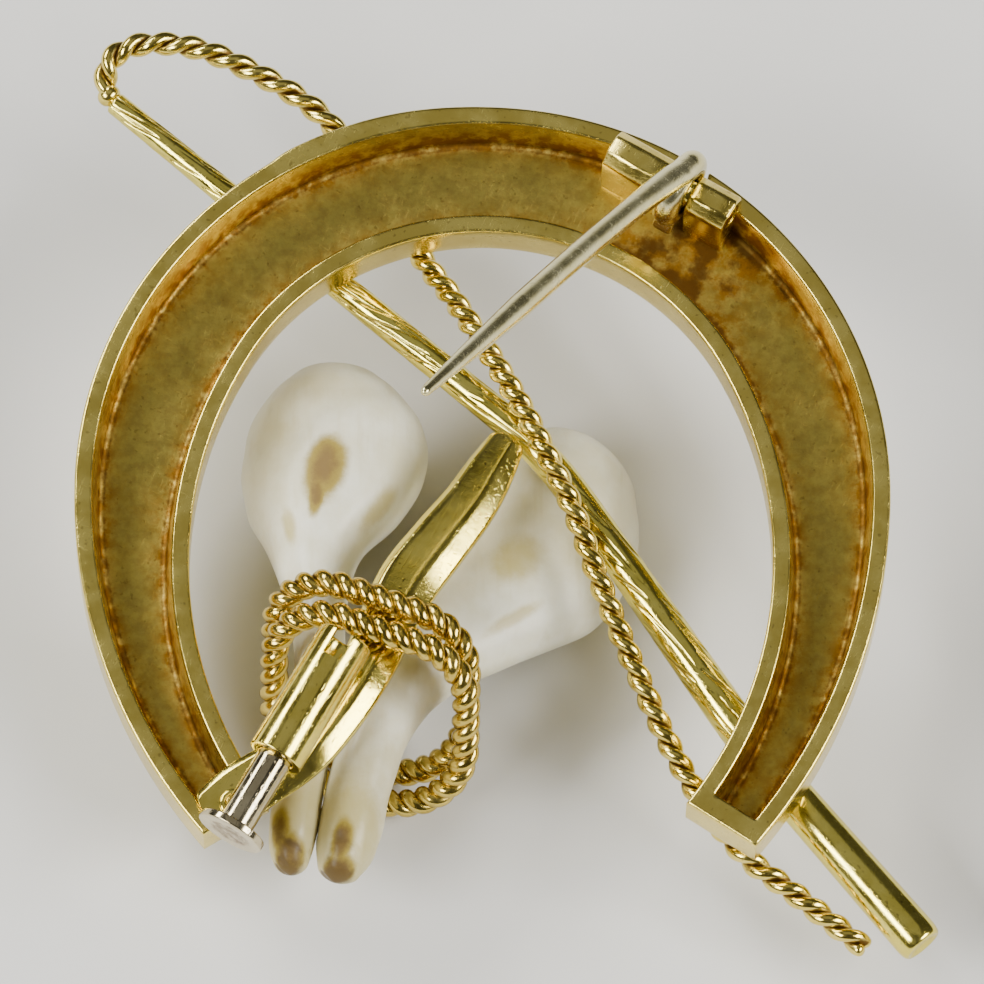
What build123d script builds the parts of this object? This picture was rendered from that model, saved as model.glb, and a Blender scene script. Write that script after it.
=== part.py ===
from build123d import *
from collections import namedtuple
from math import acos, asin, atan2, cos, degrees, hypot, radians, sin, tan
import os

# Hunting brooch, in millimetres. It is drawn in the jewel's own plan first: X and Y in the
# plane of the horseshoe, toe towards +Y, and Z out of the back, with the horseshoe's front
# face at Z = 0. At the end it is laid down as it rests on a table, front side down.

# Clearances
solder_gap = 0.04
rivet_clearance = 0.03
eye_clearance = 0.07
slide_clearance = 0.035
cheek_clearance = 0.10

# How far a cutting tool runs past what it cuts
overcut = 1.0

# Horseshoe: an open tray with a raised rim
shoe_thickness = 2.5
toe_outer_radius = 17.45
right_outer_radius = 24.84
left_outer_radius = 23.6
toe_width = 5.85
right_heel_width = 3.511
left_heel_width = 3.201
toe_inner_shift = 0.13
inner_join_turn = 29.8
heel_drop = 15.65
heel_slant = 32.2
floor_thickness = 0.45
rim_width = 0.78
wall_draft = 0.20
wall_foot = 0.25
heel_wall = 1.2
front_bevel = 0.4
rim_bevel = 0.07

# Hinge on the toe
hinge_inset = 1.441
hinge_place = 59.19
hinge_height = 2.9
hinge_skew = 1.31
rivet_radius = 0.55
eye_ring_radius = 0.58
knuckle_width = 1.8
knuckle_top = 3.75
knuckle_chamfer = 0.5
left_knuckle_length = 2.72
right_knuckle_length = 1.92
rivet_recess = 0.05
notch_depth = 1.65

# Pin
stem_radius = 0.53
stem_shoulder = 4.0
shoulder_radius = 0.56
stem_taper = 9.6
point_radius = 0.16
point_reach = 0.6
spur_reach = 2.25
spur_width = 0.9
spur_thickness = 0.5
open_angle = 40.5

# Catch: outer tube on the strap, sliding inner tube with a knob
catch_height = 4.55
catch_swing = 8.0
mouth_way = 0.571
mouth_bow = 0.046
tube_radius = 1.225
tube_wall = 0.41
tube_length = 6.1
slot_width = 0.8
slot_length = 1.3
plunger_wall = 0.27
plunger_overlap = 1.9
plunger_travel = 3.5
knob_radius = 1.5
knob_thickness = 0.35

# Strap, from beside the whip's knee to the left heel's outer corner
strap_start_side = -1.7
strap_start_back = 0.35
strap_end_side = -0.49
strap_end_back = 1.25
strap_width = 2.5
strap_thickness = 0.9
strap_height = 3.45
strap_bevel = 0.32
boss_radius = 0.65
boss_height = 0.08
boss_way = 0.95
boss_bow = 0.065

# Whip
whip_tip_x = -16.4
whip_tip_y = 18.45
whip_knee_x = 2.65
whip_knee_y = 2.85
whip_bow_x = 12.0
whip_bow_y = -10.6
whip_butt_x = 19.15
whip_butt_y = -18.85
whip_knee_radius = 20.0
whip_bow_radius = 60.0
whip_diameter = 2.0
butt_dip_radius = 0.35
butt_bevel = 0.55

# Ropes
lash_diameter = 1.05
binding_diameter = 1.2
binding_spacing = 1.5
binding_width = 8.7
binding_depth = 8.9
binding_way = 0.457
binding_bow = 0.02
binding_lift = 0.75
binding_heading = -18.7
binding_lean = 52.2
binding_back_radius = 2.6
binding_front_radius = 3.6

# Deer teeth, root ends measured from the middle of the upper rope turn
left_tooth_length = 24.2
left_tooth_width = 8.0
left_tooth_depth = 6.0
left_tooth_side = -2.6
left_tooth_back = -11.65
left_tooth_heading = 90.0
right_tooth_length = 24.24
right_tooth_width = 8.7
right_tooth_depth = 5.8
right_tooth_side = -1.3
right_tooth_back = -11.9
right_tooth_heading = 63.0

# How it lies on a table, front side down on both crowns and the rope turns
heel_lean = 9.75
side_lean = -4.52

# The lash's route, from the whip's tip round the loop, under the toe, over the whip and
# under the right heel to the butt
lash_route = [
    (-16.7, 18.9, -0.4), (-16.8, 19.85, 0.0), (-15.95, 20.65, 0.2), (-14.6, 20.9, 0.3),
    (-12.5, 20.7, 0.2), (-9.9, 19.55, 0.0), (-8.15, 18.6, -0.25), (-6.6, 17.4, -0.6),
    (-2.7, 11.25, -0.6), (-1.6, 9.9, -0.4), (0.0, 7.3, 0.1), (1.65, 4.45, 0.55),
    (3.05, 1.65, 0.65), (3.95, -0.15, 0.5), (5.2, -3.6, 0.1), (6.9, -7.5, -0.3),
    (8.7, -11.4, -0.6), (11.3, -15.1, -0.7), (13.4, -16.5, -0.9), (15.1, -17.75, -1.2),
    (16.6, -18.8, -1.5),
]

# Whip sections: share of the way from tip to butt, share of the diameter
WhipRow = namedtuple("WhipRow", "way girth")
whip_rows = [
    WhipRow(0.0, 0.47), WhipRow(0.15, 0.56), WhipRow(0.3, 0.63), WhipRow(0.44, 0.69),
    WhipRow(0.47, 0.70), WhipRow(0.5, 0.72), WhipRow(0.7, 0.85), WhipRow(0.88, 0.94),
    WhipRow(1.0, 1.0),
]

# Strap sections: share of the way, sideways bow as a share of the span, top as a share of
# the strap's height, and width and thickness as shares of their sizes
StrapRow = namedtuple("StrapRow", "way bow top width thickness")
strap_rows = [
    StrapRow(0.0, 0.0, 0.16, 0.5, 0.55), StrapRow(0.076, 0.008, 0.26, 0.68, 0.9),
    StrapRow(0.156, 0.018, 0.36, 0.88, 1.0), StrapRow(0.266, 0.028, 0.49, 1.0, 1.0),
    StrapRow(0.368, 0.040, 0.60, 1.04, 1.0), StrapRow(0.457, 0.062, 0.72, 1.0, 1.0),
    StrapRow(0.55, 0.090, 0.89, 0.94, 1.0), StrapRow(0.63, 0.105, 0.99, 0.92, 1.0),
    StrapRow(0.70, 0.109, 1.0, 0.92, 0.98), StrapRow(0.766, 0.107, 0.97, 0.92, 0.85),
    StrapRow(0.83, 0.091, 0.885, 0.96, 0.53), StrapRow(0.875, 0.074, 0.865, 1.0, 0.45),
    StrapRow(0.94, 0.053, 0.845, 1.0, 0.37), StrapRow(1.0, 0.028, 0.845, 0.7, 0.37),
]

# Tooth sections: share of the length from the root end, sideways place as a share of the
# width, sink as a share of the depth (positive towards the front), half width and half
# depth as shares of width and depth, and the section's turn in degrees
ToothRow = namedtuple("ToothRow", "way side sink half_width half_depth turn")
left_tooth_rows = [
    ToothRow(0.0, -0.075, -0.075, 0.07, 0.09, 0), ToothRow(0.0475, -0.075, -0.067, 0.115, 0.17, 0),
    ToothRow(0.176, -0.034, -0.017, 0.129, 0.20, 0), ToothRow(0.32, 0.034, 0.067, 0.13, 0.225, 0),
    ToothRow(0.436, 0.046, 0.167, 0.137, 0.262, 0), ToothRow(0.543, 0.019, 0.275, 0.175, 0.333, 0),
    ToothRow(0.636, 0.012, 0.375, 0.265, 0.39, 0), ToothRow(0.70, 0.05, 0.45, 0.395, 0.46, 0),
    ToothRow(0.826, 0.10, 0.583, 0.50, 0.53, 0), ToothRow(0.925, 0.10, 0.64, 0.41, 0.46, 0),
    ToothRow(0.976, 0.094, 0.655, 0.275, 0.33, 0), ToothRow(1.001, 0.09, 0.665, 0.155, 0.19, 0),
    ToothRow(1.011, 0.09, 0.67, 0.06, 0.07, 0),
]
right_tooth_rows = [
    ToothRow(0.0, 0.0, -0.06, 0.08, 0.112, 13), ToothRow(0.054, -0.032, -0.052, 0.14, 0.207, 14),
    ToothRow(0.183, -0.138, 0.0, 0.156, 0.241, 12), ToothRow(0.332, -0.213, 0.121, 0.172, 0.267, 6),
    ToothRow(0.431, -0.199, 0.259, 0.218, 0.32, 0), ToothRow(0.559, -0.161, 0.44, 0.375, 0.385, -4),
    ToothRow(0.703, -0.056, 0.645, 0.50, 0.44, -6), ToothRow(0.82, -0.022, 0.75, 0.483, 0.45, -7),
    ToothRow(0.934, -0.02, 0.828, 0.339, 0.43, -6), ToothRow(0.985, -0.012, 0.853, 0.18, 0.29, -6),
    ToothRow(1.0, -0.011, 0.86, 0.07, 0.12, -6),
]


toe_inner_radius = toe_outer_radius - toe_width
right_side = (right_outer_radius, right_heel_width)
left_side = (left_outer_radius, left_heel_width)
hinge_turn = hinge_place + hinge_skew - 90


def plan_point(centre, radius, turn):
    """Point on a circle in plan, at a turn in degrees."""
    return Vector(centre.X + radius * cos(radians(turn)), centre.Y + radius * sin(radians(turn)))


def plan_arc(centre, radius, start, end):
    """Arc in plan from one turn to another, in degrees."""
    return ThreePointArc(
        plan_point(centre, radius, start),
        plan_point(centre, radius, (start + end) / 2),
        plan_point(centre, radius, end),
    )


def heel_corner(outer_radius):
    """Outer corner of a heel whose side arc has this radius, as if on the right."""
    centre = Vector(toe_outer_radius - outer_radius, 0)
    return plan_point(centre, outer_radius, -degrees(asin(heel_drop / outer_radius)))


def mirrored(centre, radius, start, end):
    """An arc's centre, radius and turns on the other side of the middle line."""
    return Vector(-centre.X, centre.Y), radius, 180 - start, 180 - end


def inner_side(outer_radius, heel_width):
    """Centre and radius of the arc from the toe's inner arc to a heel's inner corner."""
    start = plan_point(Vector(0, toe_inner_shift), toe_inner_radius, inner_join_turn)
    outwards = plan_point(Vector(0, 0), 1, inner_join_turn)
    end = heel_corner(outer_radius) + plan_point(Vector(0, 0), heel_width, 180 - heel_slant)
    chord = end - start
    radius = -chord.dot(chord) / (2 * outwards.dot(chord))
    return start - outwards * radius, radius


def side_arcs(side, inset, heel_inset):
    """Centre, radius and turns of a branch's outer and inner arcs, as if on the right."""
    outer_radius, heel_width = side
    square_on = 90 - heel_slant
    across = plan_point(Vector(0, 0), 1, square_on)
    limit = across.dot(heel_corner(outer_radius)) + heel_inset

    def heel_turn(centre, radius):
        return square_on - degrees(acos((limit - across.dot(centre)) / radius))

    outer_centre = Vector(toe_outer_radius - outer_radius, 0)
    inner_centre, inner_radius = inner_side(outer_radius, heel_width)
    outer = outer_radius - inset
    inner = inner_radius + inset
    outer_arc = (outer_centre, outer, heel_turn(outer_centre, outer), 0)
    inner_arc = (inner_centre, inner, inner_join_turn, heel_turn(inner_centre, inner))
    return outer_arc, inner_arc


def shoe_face(inset, heel_inset, height):
    """Horseshoe's outline drawn in by an inset all round, and by another at the heels."""
    right_outer, right_inner = (plan_arc(*arc) for arc in side_arcs(right_side, inset, heel_inset))
    left_outer, left_inner = (
        plan_arc(*mirrored(*arc)) for arc in side_arcs(left_side, inset, heel_inset)
    )
    toe_outer = plan_arc(Vector(0, 0), toe_outer_radius - inset, 0, 180)
    toe_inner = plan_arc(
        Vector(0, toe_inner_shift), toe_inner_radius + inset, 180 - inner_join_turn, inner_join_turn
    )
    left_heel = Line(left_outer @ 0, left_inner @ 1)
    right_heel = Line(right_inner @ 1, right_outer @ 0)
    outline = Wire([
        right_outer, toe_outer, left_outer, left_heel, left_inner, toe_inner, right_inner, right_heel
    ])
    return Pos(0, 0, height) * Face(outline)


def shoe_loft(levels):
    """Straight-walled solid through outlines given as inset, heel inset and height."""
    return loft([shoe_face(*level) for level in levels], ruled=True)


def round_path(points, closed=False):
    """Straight runs joined by arcs, each as large as its two runs allow."""
    spots = [Vector(*point) for point in points]
    count = len(spots)
    radii = []
    for i in range(count) if closed else range(1, count - 1):
        before = spots[i] - spots[i - 1]
        after = spots[(i + 1) % count] - spots[i]
        turn = before.get_angle(after)
        radii.append(0.45 * min(before.length, after.length) / tan(radians(turn) / 2))
    return FilletPolyline(*spots, radius=radii, close=closed)


def tube_along(path, radius):
    """Round bar along a path of runs and arcs, checked against section times length."""
    bar = sweep(Plane(origin=path @ 0, z_dir=path % 0) * Circle(radius), path=path)
    expected = Circle(radius).area * path.length
    print("bar", round(bar.volume, 3), "section times length", round(expected, 3))
    return bar


# The strap's own line, from the whip's knee to the left heel
left_heel_corner = heel_corner(left_outer_radius)
strap_start = Vector(whip_knee_x + strap_start_side, whip_knee_y + strap_start_back)
strap_end = Vector(-left_heel_corner.X + strap_end_side, left_heel_corner.Y + strap_end_back)
strap_span = (strap_end - strap_start).length
strap_along = (strap_end - strap_start).normalized()
strap_beside = Vector(-strap_along.Y, strap_along.X)


def strap_frame(way, bow):
    """Point in plan at shares of the strap's span along it and beside it."""
    return strap_start + strap_along * (way * strap_span) + strap_beside * (bow * strap_span)


# The pin's line, from the hinge to the catch's mouth
pivot = plan_point(Vector(0, 0), toe_outer_radius - hinge_inset, hinge_place) + Vector(0, 0, hinge_height)
hinge_plane = Plane(
    origin=pivot, x_dir=(cos(radians(hinge_turn)), sin(radians(hinge_turn)), 0), z_dir=(0, 0, 1)
)
hinge_axis = Axis(pivot, hinge_plane.x_dir)
eye_hole_radius = rivet_radius + eye_clearance
eye_radius = eye_hole_radius + eye_ring_radius
cheek = eye_ring_radius + cheek_clearance
mouth = strap_frame(mouth_way, mouth_bow) + Vector(0, 0, catch_height)
stem_run = Vector(mouth.X - pivot.X, mouth.Y - pivot.Y)
stem_direction = stem_run.normalized()
stem_length = stem_run.length + point_reach
stem_straight = stem_length - stem_taper - stem_shoulder
catch_direction = strap_along.rotate(Axis.Z, catch_swing)
closed_angle = degrees(
    asin((catch_height - hinge_height) / hypot(stem_length, eye_radius)) - atan2(eye_radius, stem_length)
)


def catch_cylinder(radius, start, length):
    """Cylinder on the catch's centre line, its start measured from the mouth."""
    seat = Plane(origin=mouth + catch_direction * start, x_dir=(0, 0, 1), z_dir=catch_direction)
    return seat * Cylinder(radius, length, align=(Align.CENTER, Align.CENTER, Align.MIN))


def hinge_box(length, width, height, start, side, foot):
    """Box in the hinge's own frame: start along the rivet, middle side, and foot above the floor."""
    block = Box(length, width, height, align=(Align.MIN, Align.CENTER, Align.MIN))
    return hinge_plane * Pos(start, side, foot - hinge_height) * block


def hinge_cylinder(radius, start, length):
    """Cylinder on the rivet's line."""
    seat = hinge_plane * Pos(start, 0, 0) * Rot(0, 90, 0)
    return seat * Cylinder(radius, length, align=(Align.CENTER, Align.CENTER, Align.MIN))


def make_knuckle(start, length):
    """One hinge bar, standing on the tray's floor, its two long top edges bevelled."""
    sunk = floor_thickness / 2
    bar = hinge_box(length, knuckle_width, knuckle_top - sunk, start, 0, sunk)
    ridges = bar.edges().group_by(Axis.Z)[-1].filter_by(hinge_axis)
    return chamfer(ridges, knuckle_chamfer)


def make_horseshoe():
    """Tray with its rim, the two hinge bars, the rivet's bore and the gap for the pin's eye."""
    body = shoe_loft([
        (front_bevel, front_bevel, 0),
        (0, 0, front_bevel),
        (0, 0, shoe_thickness - rim_bevel),
        (rim_bevel, rim_bevel, shoe_thickness),
    ])
    foot_width = rim_width + wall_draft
    tray = shoe_loft([
        (foot_width + wall_foot, heel_wall + wall_foot, floor_thickness),
        (foot_width, heel_wall, floor_thickness + wall_foot),
        (rim_width, heel_wall - wall_draft, shoe_thickness - rim_bevel),
        (rim_width - rim_bevel, heel_wall - wall_draft - rim_bevel, shoe_thickness),
        (rim_width - rim_bevel, heel_wall - wall_draft - rim_bevel, shoe_thickness + overcut),
    ])
    left = make_knuckle(-cheek - left_knuckle_length, left_knuckle_length)
    right = make_knuckle(cheek, right_knuckle_length)
    bore_start = -cheek - left_knuckle_length - overcut
    bore_length = left_knuckle_length + right_knuckle_length + 2 * cheek + 2 * overcut
    bore = hinge_cylinder(rivet_radius + rivet_clearance, bore_start, bore_length)
    notch_reach = toe_outer_radius
    notch = hinge_box(
        2 * cheek, notch_reach, knuckle_top, -cheek, notch_reach / 2, shoe_thickness - notch_depth
    )
    return body - tray + left + right - bore - notch


def make_rivet():
    """Hinge rivet, ground off just inside the ends of the bars."""
    start = -cheek - left_knuckle_length + rivet_recess
    length = left_knuckle_length + right_knuckle_length + 2 * cheek - 2 * rivet_recess
    return hinge_cylinder(rivet_radius, start, length)


def make_pin():
    """Pin lying flat, turned up to its open angle: eye, round stem, long point, spur."""
    on_start = (Align.CENTER, Align.CENTER, Align.MIN)
    eye = Plane(origin=pivot, z_dir=hinge_plane.x_dir) * Torus(eye_radius, eye_ring_radius)
    root = pivot + Vector(0, 0, eye_radius)
    pieces = [
        Cone(shoulder_radius, stem_radius, stem_shoulder, align=on_start),
        Pos(0, 0, stem_shoulder) * Cylinder(stem_radius, stem_straight, align=on_start),
        Pos(0, 0, stem_length - stem_taper) * Cone(stem_radius, point_radius, stem_taper, align=on_start),
    ]
    seat = Plane(origin=root, z_dir=stem_direction)
    shoulder, stem, point = (seat * piece for piece in pieces)
    spur_foot = hinge_height - spur_reach
    spur = hinge_box(
        spur_width, spur_thickness, spur_reach - eye_radius, -spur_width / 2, 0, spur_foot
    )
    return (eye + shoulder + stem + point + spur).rotate(hinge_axis, -open_angle)


def strap_section(row, ahead):
    """Flat bar's section across the strap: narrow bevel left, wide bevel right."""
    middle = strap_frame(row.way, row.bow)
    top = row.top * strap_height
    deep = row.thickness * strap_thickness
    half = row.width * strap_width / 2
    bevel = strap_bevel * row.width
    outline = Polyline(
        (-half, -deep), (-half, -deep / 2), (-half + bevel, 0), (half - 2 * bevel, 0),
        (half, -deep / 2), (half, -deep), close=True,
    )
    section = Plane(origin=(middle.X, middle.Y, top), x_dir=(-ahead.Y, ahead.X, 0), z_dir=ahead)
    return section * make_face(outline)


def make_catch_bridge():
    """Strap with the catch's slotted outer tube soldered along its back."""
    middles = [strap_frame(row.way, row.bow) for row in strap_rows]
    sections = []
    for i, row in enumerate(strap_rows):
        ahead = middles[min(i + 1, len(middles) - 1)] - middles[max(i - 1, 0)]
        sections.append(strap_section(row, ahead.normalized()))
    strap = loft(sections)
    boss_spot = strap_frame(boss_way, boss_bow)
    foot_top = strap_rows[-1].top * strap_height
    boss = Pos(boss_spot.X, boss_spot.Y, foot_top - boss_height) * Cylinder(
        boss_radius, 2 * boss_height, align=(Align.CENTER, Align.CENTER, Align.MIN)
    )
    tube = catch_cylinder(tube_radius, 0, tube_length)
    bore = catch_cylinder(tube_radius - tube_wall, -overcut, tube_length + 2 * overcut)
    slot_seat = Plane(origin=mouth, x_dir=catch_direction, z_dir=(0, 0, 1))
    slot = slot_seat * Pos(-overcut, 0, 0) * Box(
        slot_length + overcut, slot_width, 2 * tube_radius, align=(Align.MIN, Align.CENTER, Align.MIN)
    )
    return strap + boss + (tube - bore - slot)


def make_plunger():
    """Inner tube pulled out, with a flat round knob."""
    radius = tube_radius - tube_wall - slide_clearance
    start = tube_length - plunger_overlap
    knob_start = tube_length + plunger_travel + slide_clearance
    inner = catch_cylinder(radius, start, knob_start - start + knob_thickness)
    knob = catch_cylinder(knob_radius, knob_start, knob_thickness)
    bore = catch_cylinder(radius - plunger_wall, start - overcut, knob_start - start + overcut)
    return inner + knob - bore


def make_whip():
    """Tapering round stock under the horseshoe, with a shallow dip across its butt."""
    line = FilletPolyline(
        (whip_tip_x, whip_tip_y), (whip_knee_x, whip_knee_y),
        (whip_bow_x, whip_bow_y), (whip_butt_x, whip_butt_y),
        radius=[whip_knee_radius, whip_bow_radius],
    )
    sections = []
    for row in whip_rows:
        radius = row.girth * whip_diameter / 2
        spot = line @ row.way
        centre = (spot.X, spot.Y, -radius - solder_gap)
        seat = Plane(origin=centre, x_dir=(0, 0, 1), z_dir=line % row.way)
        sections.append(seat * Circle(radius))
    stock = loft(sections, ruled=True)
    end = line @ 1
    ahead = line % 1
    dip = Pos(end.X, end.Y, -whip_diameter) * Cylinder(
        butt_dip_radius, 2 * whip_diameter, align=(Align.CENTER, Align.CENTER, Align.MIN)
    )
    corner = end + Vector(-ahead.Y, ahead.X) * (whip_diameter / 2) + Vector(0, 0, -solder_gap)
    slant = Plane(origin=corner, x_dir=ahead, z_dir=(-ahead.Y, ahead.X, 1))
    bevel = slant * Pos(0, 0, -butt_bevel / 2) * Box(
        2 * butt_bevel, 2 * whip_diameter, butt_bevel, align=(Align.CENTER, Align.CENTER, Align.MIN)
    )
    return stock - dip - bevel


binding_centre = strap_frame(binding_way, binding_bow)


def make_binding(shift):
    """One closed rope turn round the strap and both tooth necks, in a leaning plane."""
    across = Vector(cos(radians(binding_heading)), sin(radians(binding_heading)), 0)
    down = Vector(0, -cos(radians(binding_lean)), -sin(radians(binding_lean)))
    centre = binding_centre - Vector(0, shift)
    row_way = (centre - strap_start).dot(strap_along) / strap_span
    after = next(i for i, row in enumerate(strap_rows) if row.way > row_way)
    low, high = strap_rows[after - 1], strap_rows[after]
    blend = (row_way - low.way) / (high.way - low.way)
    strap_top = (low.top + (high.top - low.top) * blend) * strap_height
    back = centre + Vector(0, 0, strap_top + binding_lift)
    half = binding_width / 2
    corners = [(-half, 0), (half, 0), (half, binding_depth), (-half, binding_depth)]
    spots = [back + across * x + down * y for x, y in corners]
    radii = [binding_back_radius, binding_back_radius, binding_front_radius, binding_front_radius]
    path = FilletPolyline(*spots, radius=radii, close=True)
    return tube_along(path, binding_diameter / 2)


def make_tooth(rows, length, width, depth, side, back, heading):
    """Tooth lofted through ellipses from its root end to its crown."""
    root = binding_centre + Vector(side, back)
    seat = Plane(origin=root, x_dir=(sin(radians(heading)), -cos(radians(heading)), 0), z_dir=(0, 0, 1))
    sections = []
    for row in rows:
        spot = seat.from_local_coords((row.side * width, row.way * length, -row.sink * depth))
        turn = heading + row.turn
        section = Plane(
            origin=spot,
            x_dir=(sin(radians(turn)), -cos(radians(turn)), 0),
            z_dir=(cos(radians(turn)), sin(radians(turn)), 0),
        )
        sections.append(section * Ellipse(row.half_width * width, row.half_depth * depth))
    return loft(sections)


nodes = {
    "horseshoe": make_horseshoe(),
    "whip": make_whip(),
    "lash": tube_along(round_path(lash_route), lash_diameter / 2),
    "catch_bridge": make_catch_bridge(),
    "catch_plunger": make_plunger(),
    "binding_turn_upper": make_binding(0),
    "binding_turn_lower": make_binding(binding_spacing),
    "tooth_left": make_tooth(
        left_tooth_rows, left_tooth_length, left_tooth_width, left_tooth_depth,
        left_tooth_side, left_tooth_back, left_tooth_heading,
    ),
    "tooth_right": make_tooth(
        right_tooth_rows, right_tooth_length, right_tooth_width, right_tooth_depth,
        right_tooth_side, right_tooth_back, right_tooth_heading,
    ),
    "hinge_rivet": make_rivet(),
    "pin_stem": make_pin(),
}

# Laid down, with the origin under the middle of its box
lean = Rot(heel_lean, 0, 0) * Rot(0, side_lean, 0)
box = Compound(children=[lean * shape for shape in nodes.values()]).bounding_box()
lay = Pos(-box.center().X, -box.center().Y, -box.min.Z) * lean

os.makedirs("parts", exist_ok=True)
for name, shape in nodes.items():
    export_step(lay * shape, f"parts/{name}.step")


def report(name, point, direction):
    """Print a point in metres and a unit direction in the laid-down frame."""
    place = lay * Pos(*point)
    spot = place.position / 1000
    tip = (lay * Pos(*(point + direction))).position
    way = (tip - place.position).normalized()
    print(name, [round(v, 6) for v in spot], [round(v, 5) for v in way])


report("pin_hinge", pivot, -hinge_plane.x_dir)
report("catch_slide", mouth + catch_direction * tube_length, catch_direction)
stem_root = pivot + Vector(0, 0, eye_radius).rotate(hinge_axis, -open_angle)
stem_ahead = stem_direction.rotate(hinge_axis, -open_angle)
report("pin_mount", stem_root + stem_ahead * stem_shoulder, stem_ahead)
print("pin_mount length", round(stem_straight, 3))
print("closed angle", round(closed_angle - open_angle, 3))
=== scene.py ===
"""Hunting brooch in Blender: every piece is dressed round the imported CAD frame."""
import logging
from dataclasses import dataclass, field
from enum import Enum
from math import acos, asin, cos, degrees, hypot, radians, sin, tan
from typing import Any

import bmesh
import bpy
import numpy as np
from mathutils import Matrix


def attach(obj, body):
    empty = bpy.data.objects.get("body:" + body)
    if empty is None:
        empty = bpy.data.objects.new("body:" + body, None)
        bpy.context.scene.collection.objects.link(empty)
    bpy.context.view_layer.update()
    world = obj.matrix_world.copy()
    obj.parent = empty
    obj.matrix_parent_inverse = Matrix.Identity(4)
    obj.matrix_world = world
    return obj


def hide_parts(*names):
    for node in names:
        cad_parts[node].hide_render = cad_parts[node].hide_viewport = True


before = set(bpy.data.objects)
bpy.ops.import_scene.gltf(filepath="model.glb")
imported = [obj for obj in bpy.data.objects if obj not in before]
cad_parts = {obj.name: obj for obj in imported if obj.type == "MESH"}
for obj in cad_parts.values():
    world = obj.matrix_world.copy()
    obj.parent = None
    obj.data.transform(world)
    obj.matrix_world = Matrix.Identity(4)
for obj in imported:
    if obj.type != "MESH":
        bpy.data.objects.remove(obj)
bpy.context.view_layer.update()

LOG = logging.getLogger("brooch")
Array = np.ndarray
Colour = tuple[float, float, float]
Rows = tuple[tuple[float, ...], ...]
MM = 0.001
# points nearer than this, in mm, become one; shorter edges, in metres, are taken out
WELD = 1e-4
TINY_EDGE = 1e-9
# edges turning more than this, in degrees, stay sharp
SHARP_FROM = 50
UP = np.array([0.0, 0.0, 1.0])

# How the jewel lies on the table: leans in degrees, and where its own origin comes to lie, in mm
HEEL_LEAN = 9.75
SIDE_LEAN = -4.52
ORIGIN = np.array([-1.1713, -0.9574, 6.5274])


class Twist(Enum):
    """Which way a rope's strands wind round its line."""

    LEFT = -1
    RIGHT = 1


class Slot(Enum):
    """The record's material slots."""

    YELLOW = "yellow_gold"
    ROPE = "rope_gold"
    PALE = "pale_gold"
    GREY = "grey_gold"
    TOOTH = "tooth"


class Body(Enum):
    """The bodies that pieces ride on."""

    BROOCH = "brooch"
    PIN = "pin"
    CATCH = "catch"


def lay_matrix() -> Array:
    """Turn from the jewel's own frame to the laid-down one: about Y first, then about X.

    Returns:
        A 3 by 3 matrix.
    """
    a, b = radians(HEEL_LEAN), radians(SIDE_LEAN)
    about_x = np.array([[1, 0, 0], [0, cos(a), -sin(a)], [0, sin(a), cos(a)]])
    about_y = np.array([[cos(b), 0, sin(b)], [0, 1, 0], [-sin(b), 0, cos(b)]])
    return about_x @ about_y


def laid(points: Array) -> Array:
    """Points in the jewel's frame, in mm, brought to the laid-down frame, in metres."""
    return (points @ lay_matrix().T + ORIGIN) * MM


def unit(vectors: Array) -> Array:
    """Vectors divided by their own lengths."""
    return vectors / np.maximum(np.linalg.norm(vectors, axis=-1, keepdims=True), 1e-12)


def plan(turn: float, radius: float = 1.0) -> Array:
    """Point in plan at a turn in degrees and a radius from the origin."""
    return np.array([cos(radians(turn)), sin(radians(turn))]) * radius


def level(turn: float) -> Array:
    """Level direction at a turn in degrees, with x, y and z."""
    return np.append(plan(turn), 0)


def plan_arc(centre: Array, radius: float, start: float, end: float, count: int) -> Array:
    """Arc in plan: centre plus radius times the cosine and sine of an even run of turns.

    Args:
        centre: Centre in plan.
        radius: Radius in mm.
        start: First turn in degrees.
        end: Last turn in degrees.
        count: How many points.

    Returns:
        Points, count by 2.
    """
    turns = np.radians(np.linspace(start, end, count))
    return centre + radius * np.stack([np.cos(turns), np.sin(turns)], 1)


def even_steps(points: Array, count: int) -> Array:
    """The same line with its points at even distances along it.

    Args:
        points: Points of the line.
        count: How many points to return.

    Returns:
        Points, count by 2 or 3.
    """
    runs = np.linalg.norm(np.diff(points, axis=0), axis=1)
    far = np.concatenate([[0.0], np.cumsum(runs)])
    at = np.linspace(0, far[-1], count)
    return np.stack([np.interp(at, far, column) for column in points.T], 1)


def spline_through(ways: Array, values: Array, at: Array) -> Array:
    """Cubic curve through rows of a table, with each row's slope taken from its neighbours.

    Args:
        ways: The rows' places, rising.
        values: The rows' values, rows by columns.
        at: Places to read.

    Returns:
        Values at those places, by columns.
    """
    slope = np.gradient(values, ways, axis=0)
    k = np.clip(np.searchsorted(ways, at, side="right") - 1, 0, len(ways) - 2)
    span = (ways[k + 1] - ways[k])[:, None]
    t = (at - ways[k])[:, None] / span
    start = (2 * t**3 - 3 * t**2 + 1) * values[k] + (t**3 - 2 * t**2 + t) * span * slope[k]
    end = (3 * t**2 - 2 * t**3) * values[k + 1] + (t**3 - t**2) * span * slope[k + 1]
    return start + end


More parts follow.
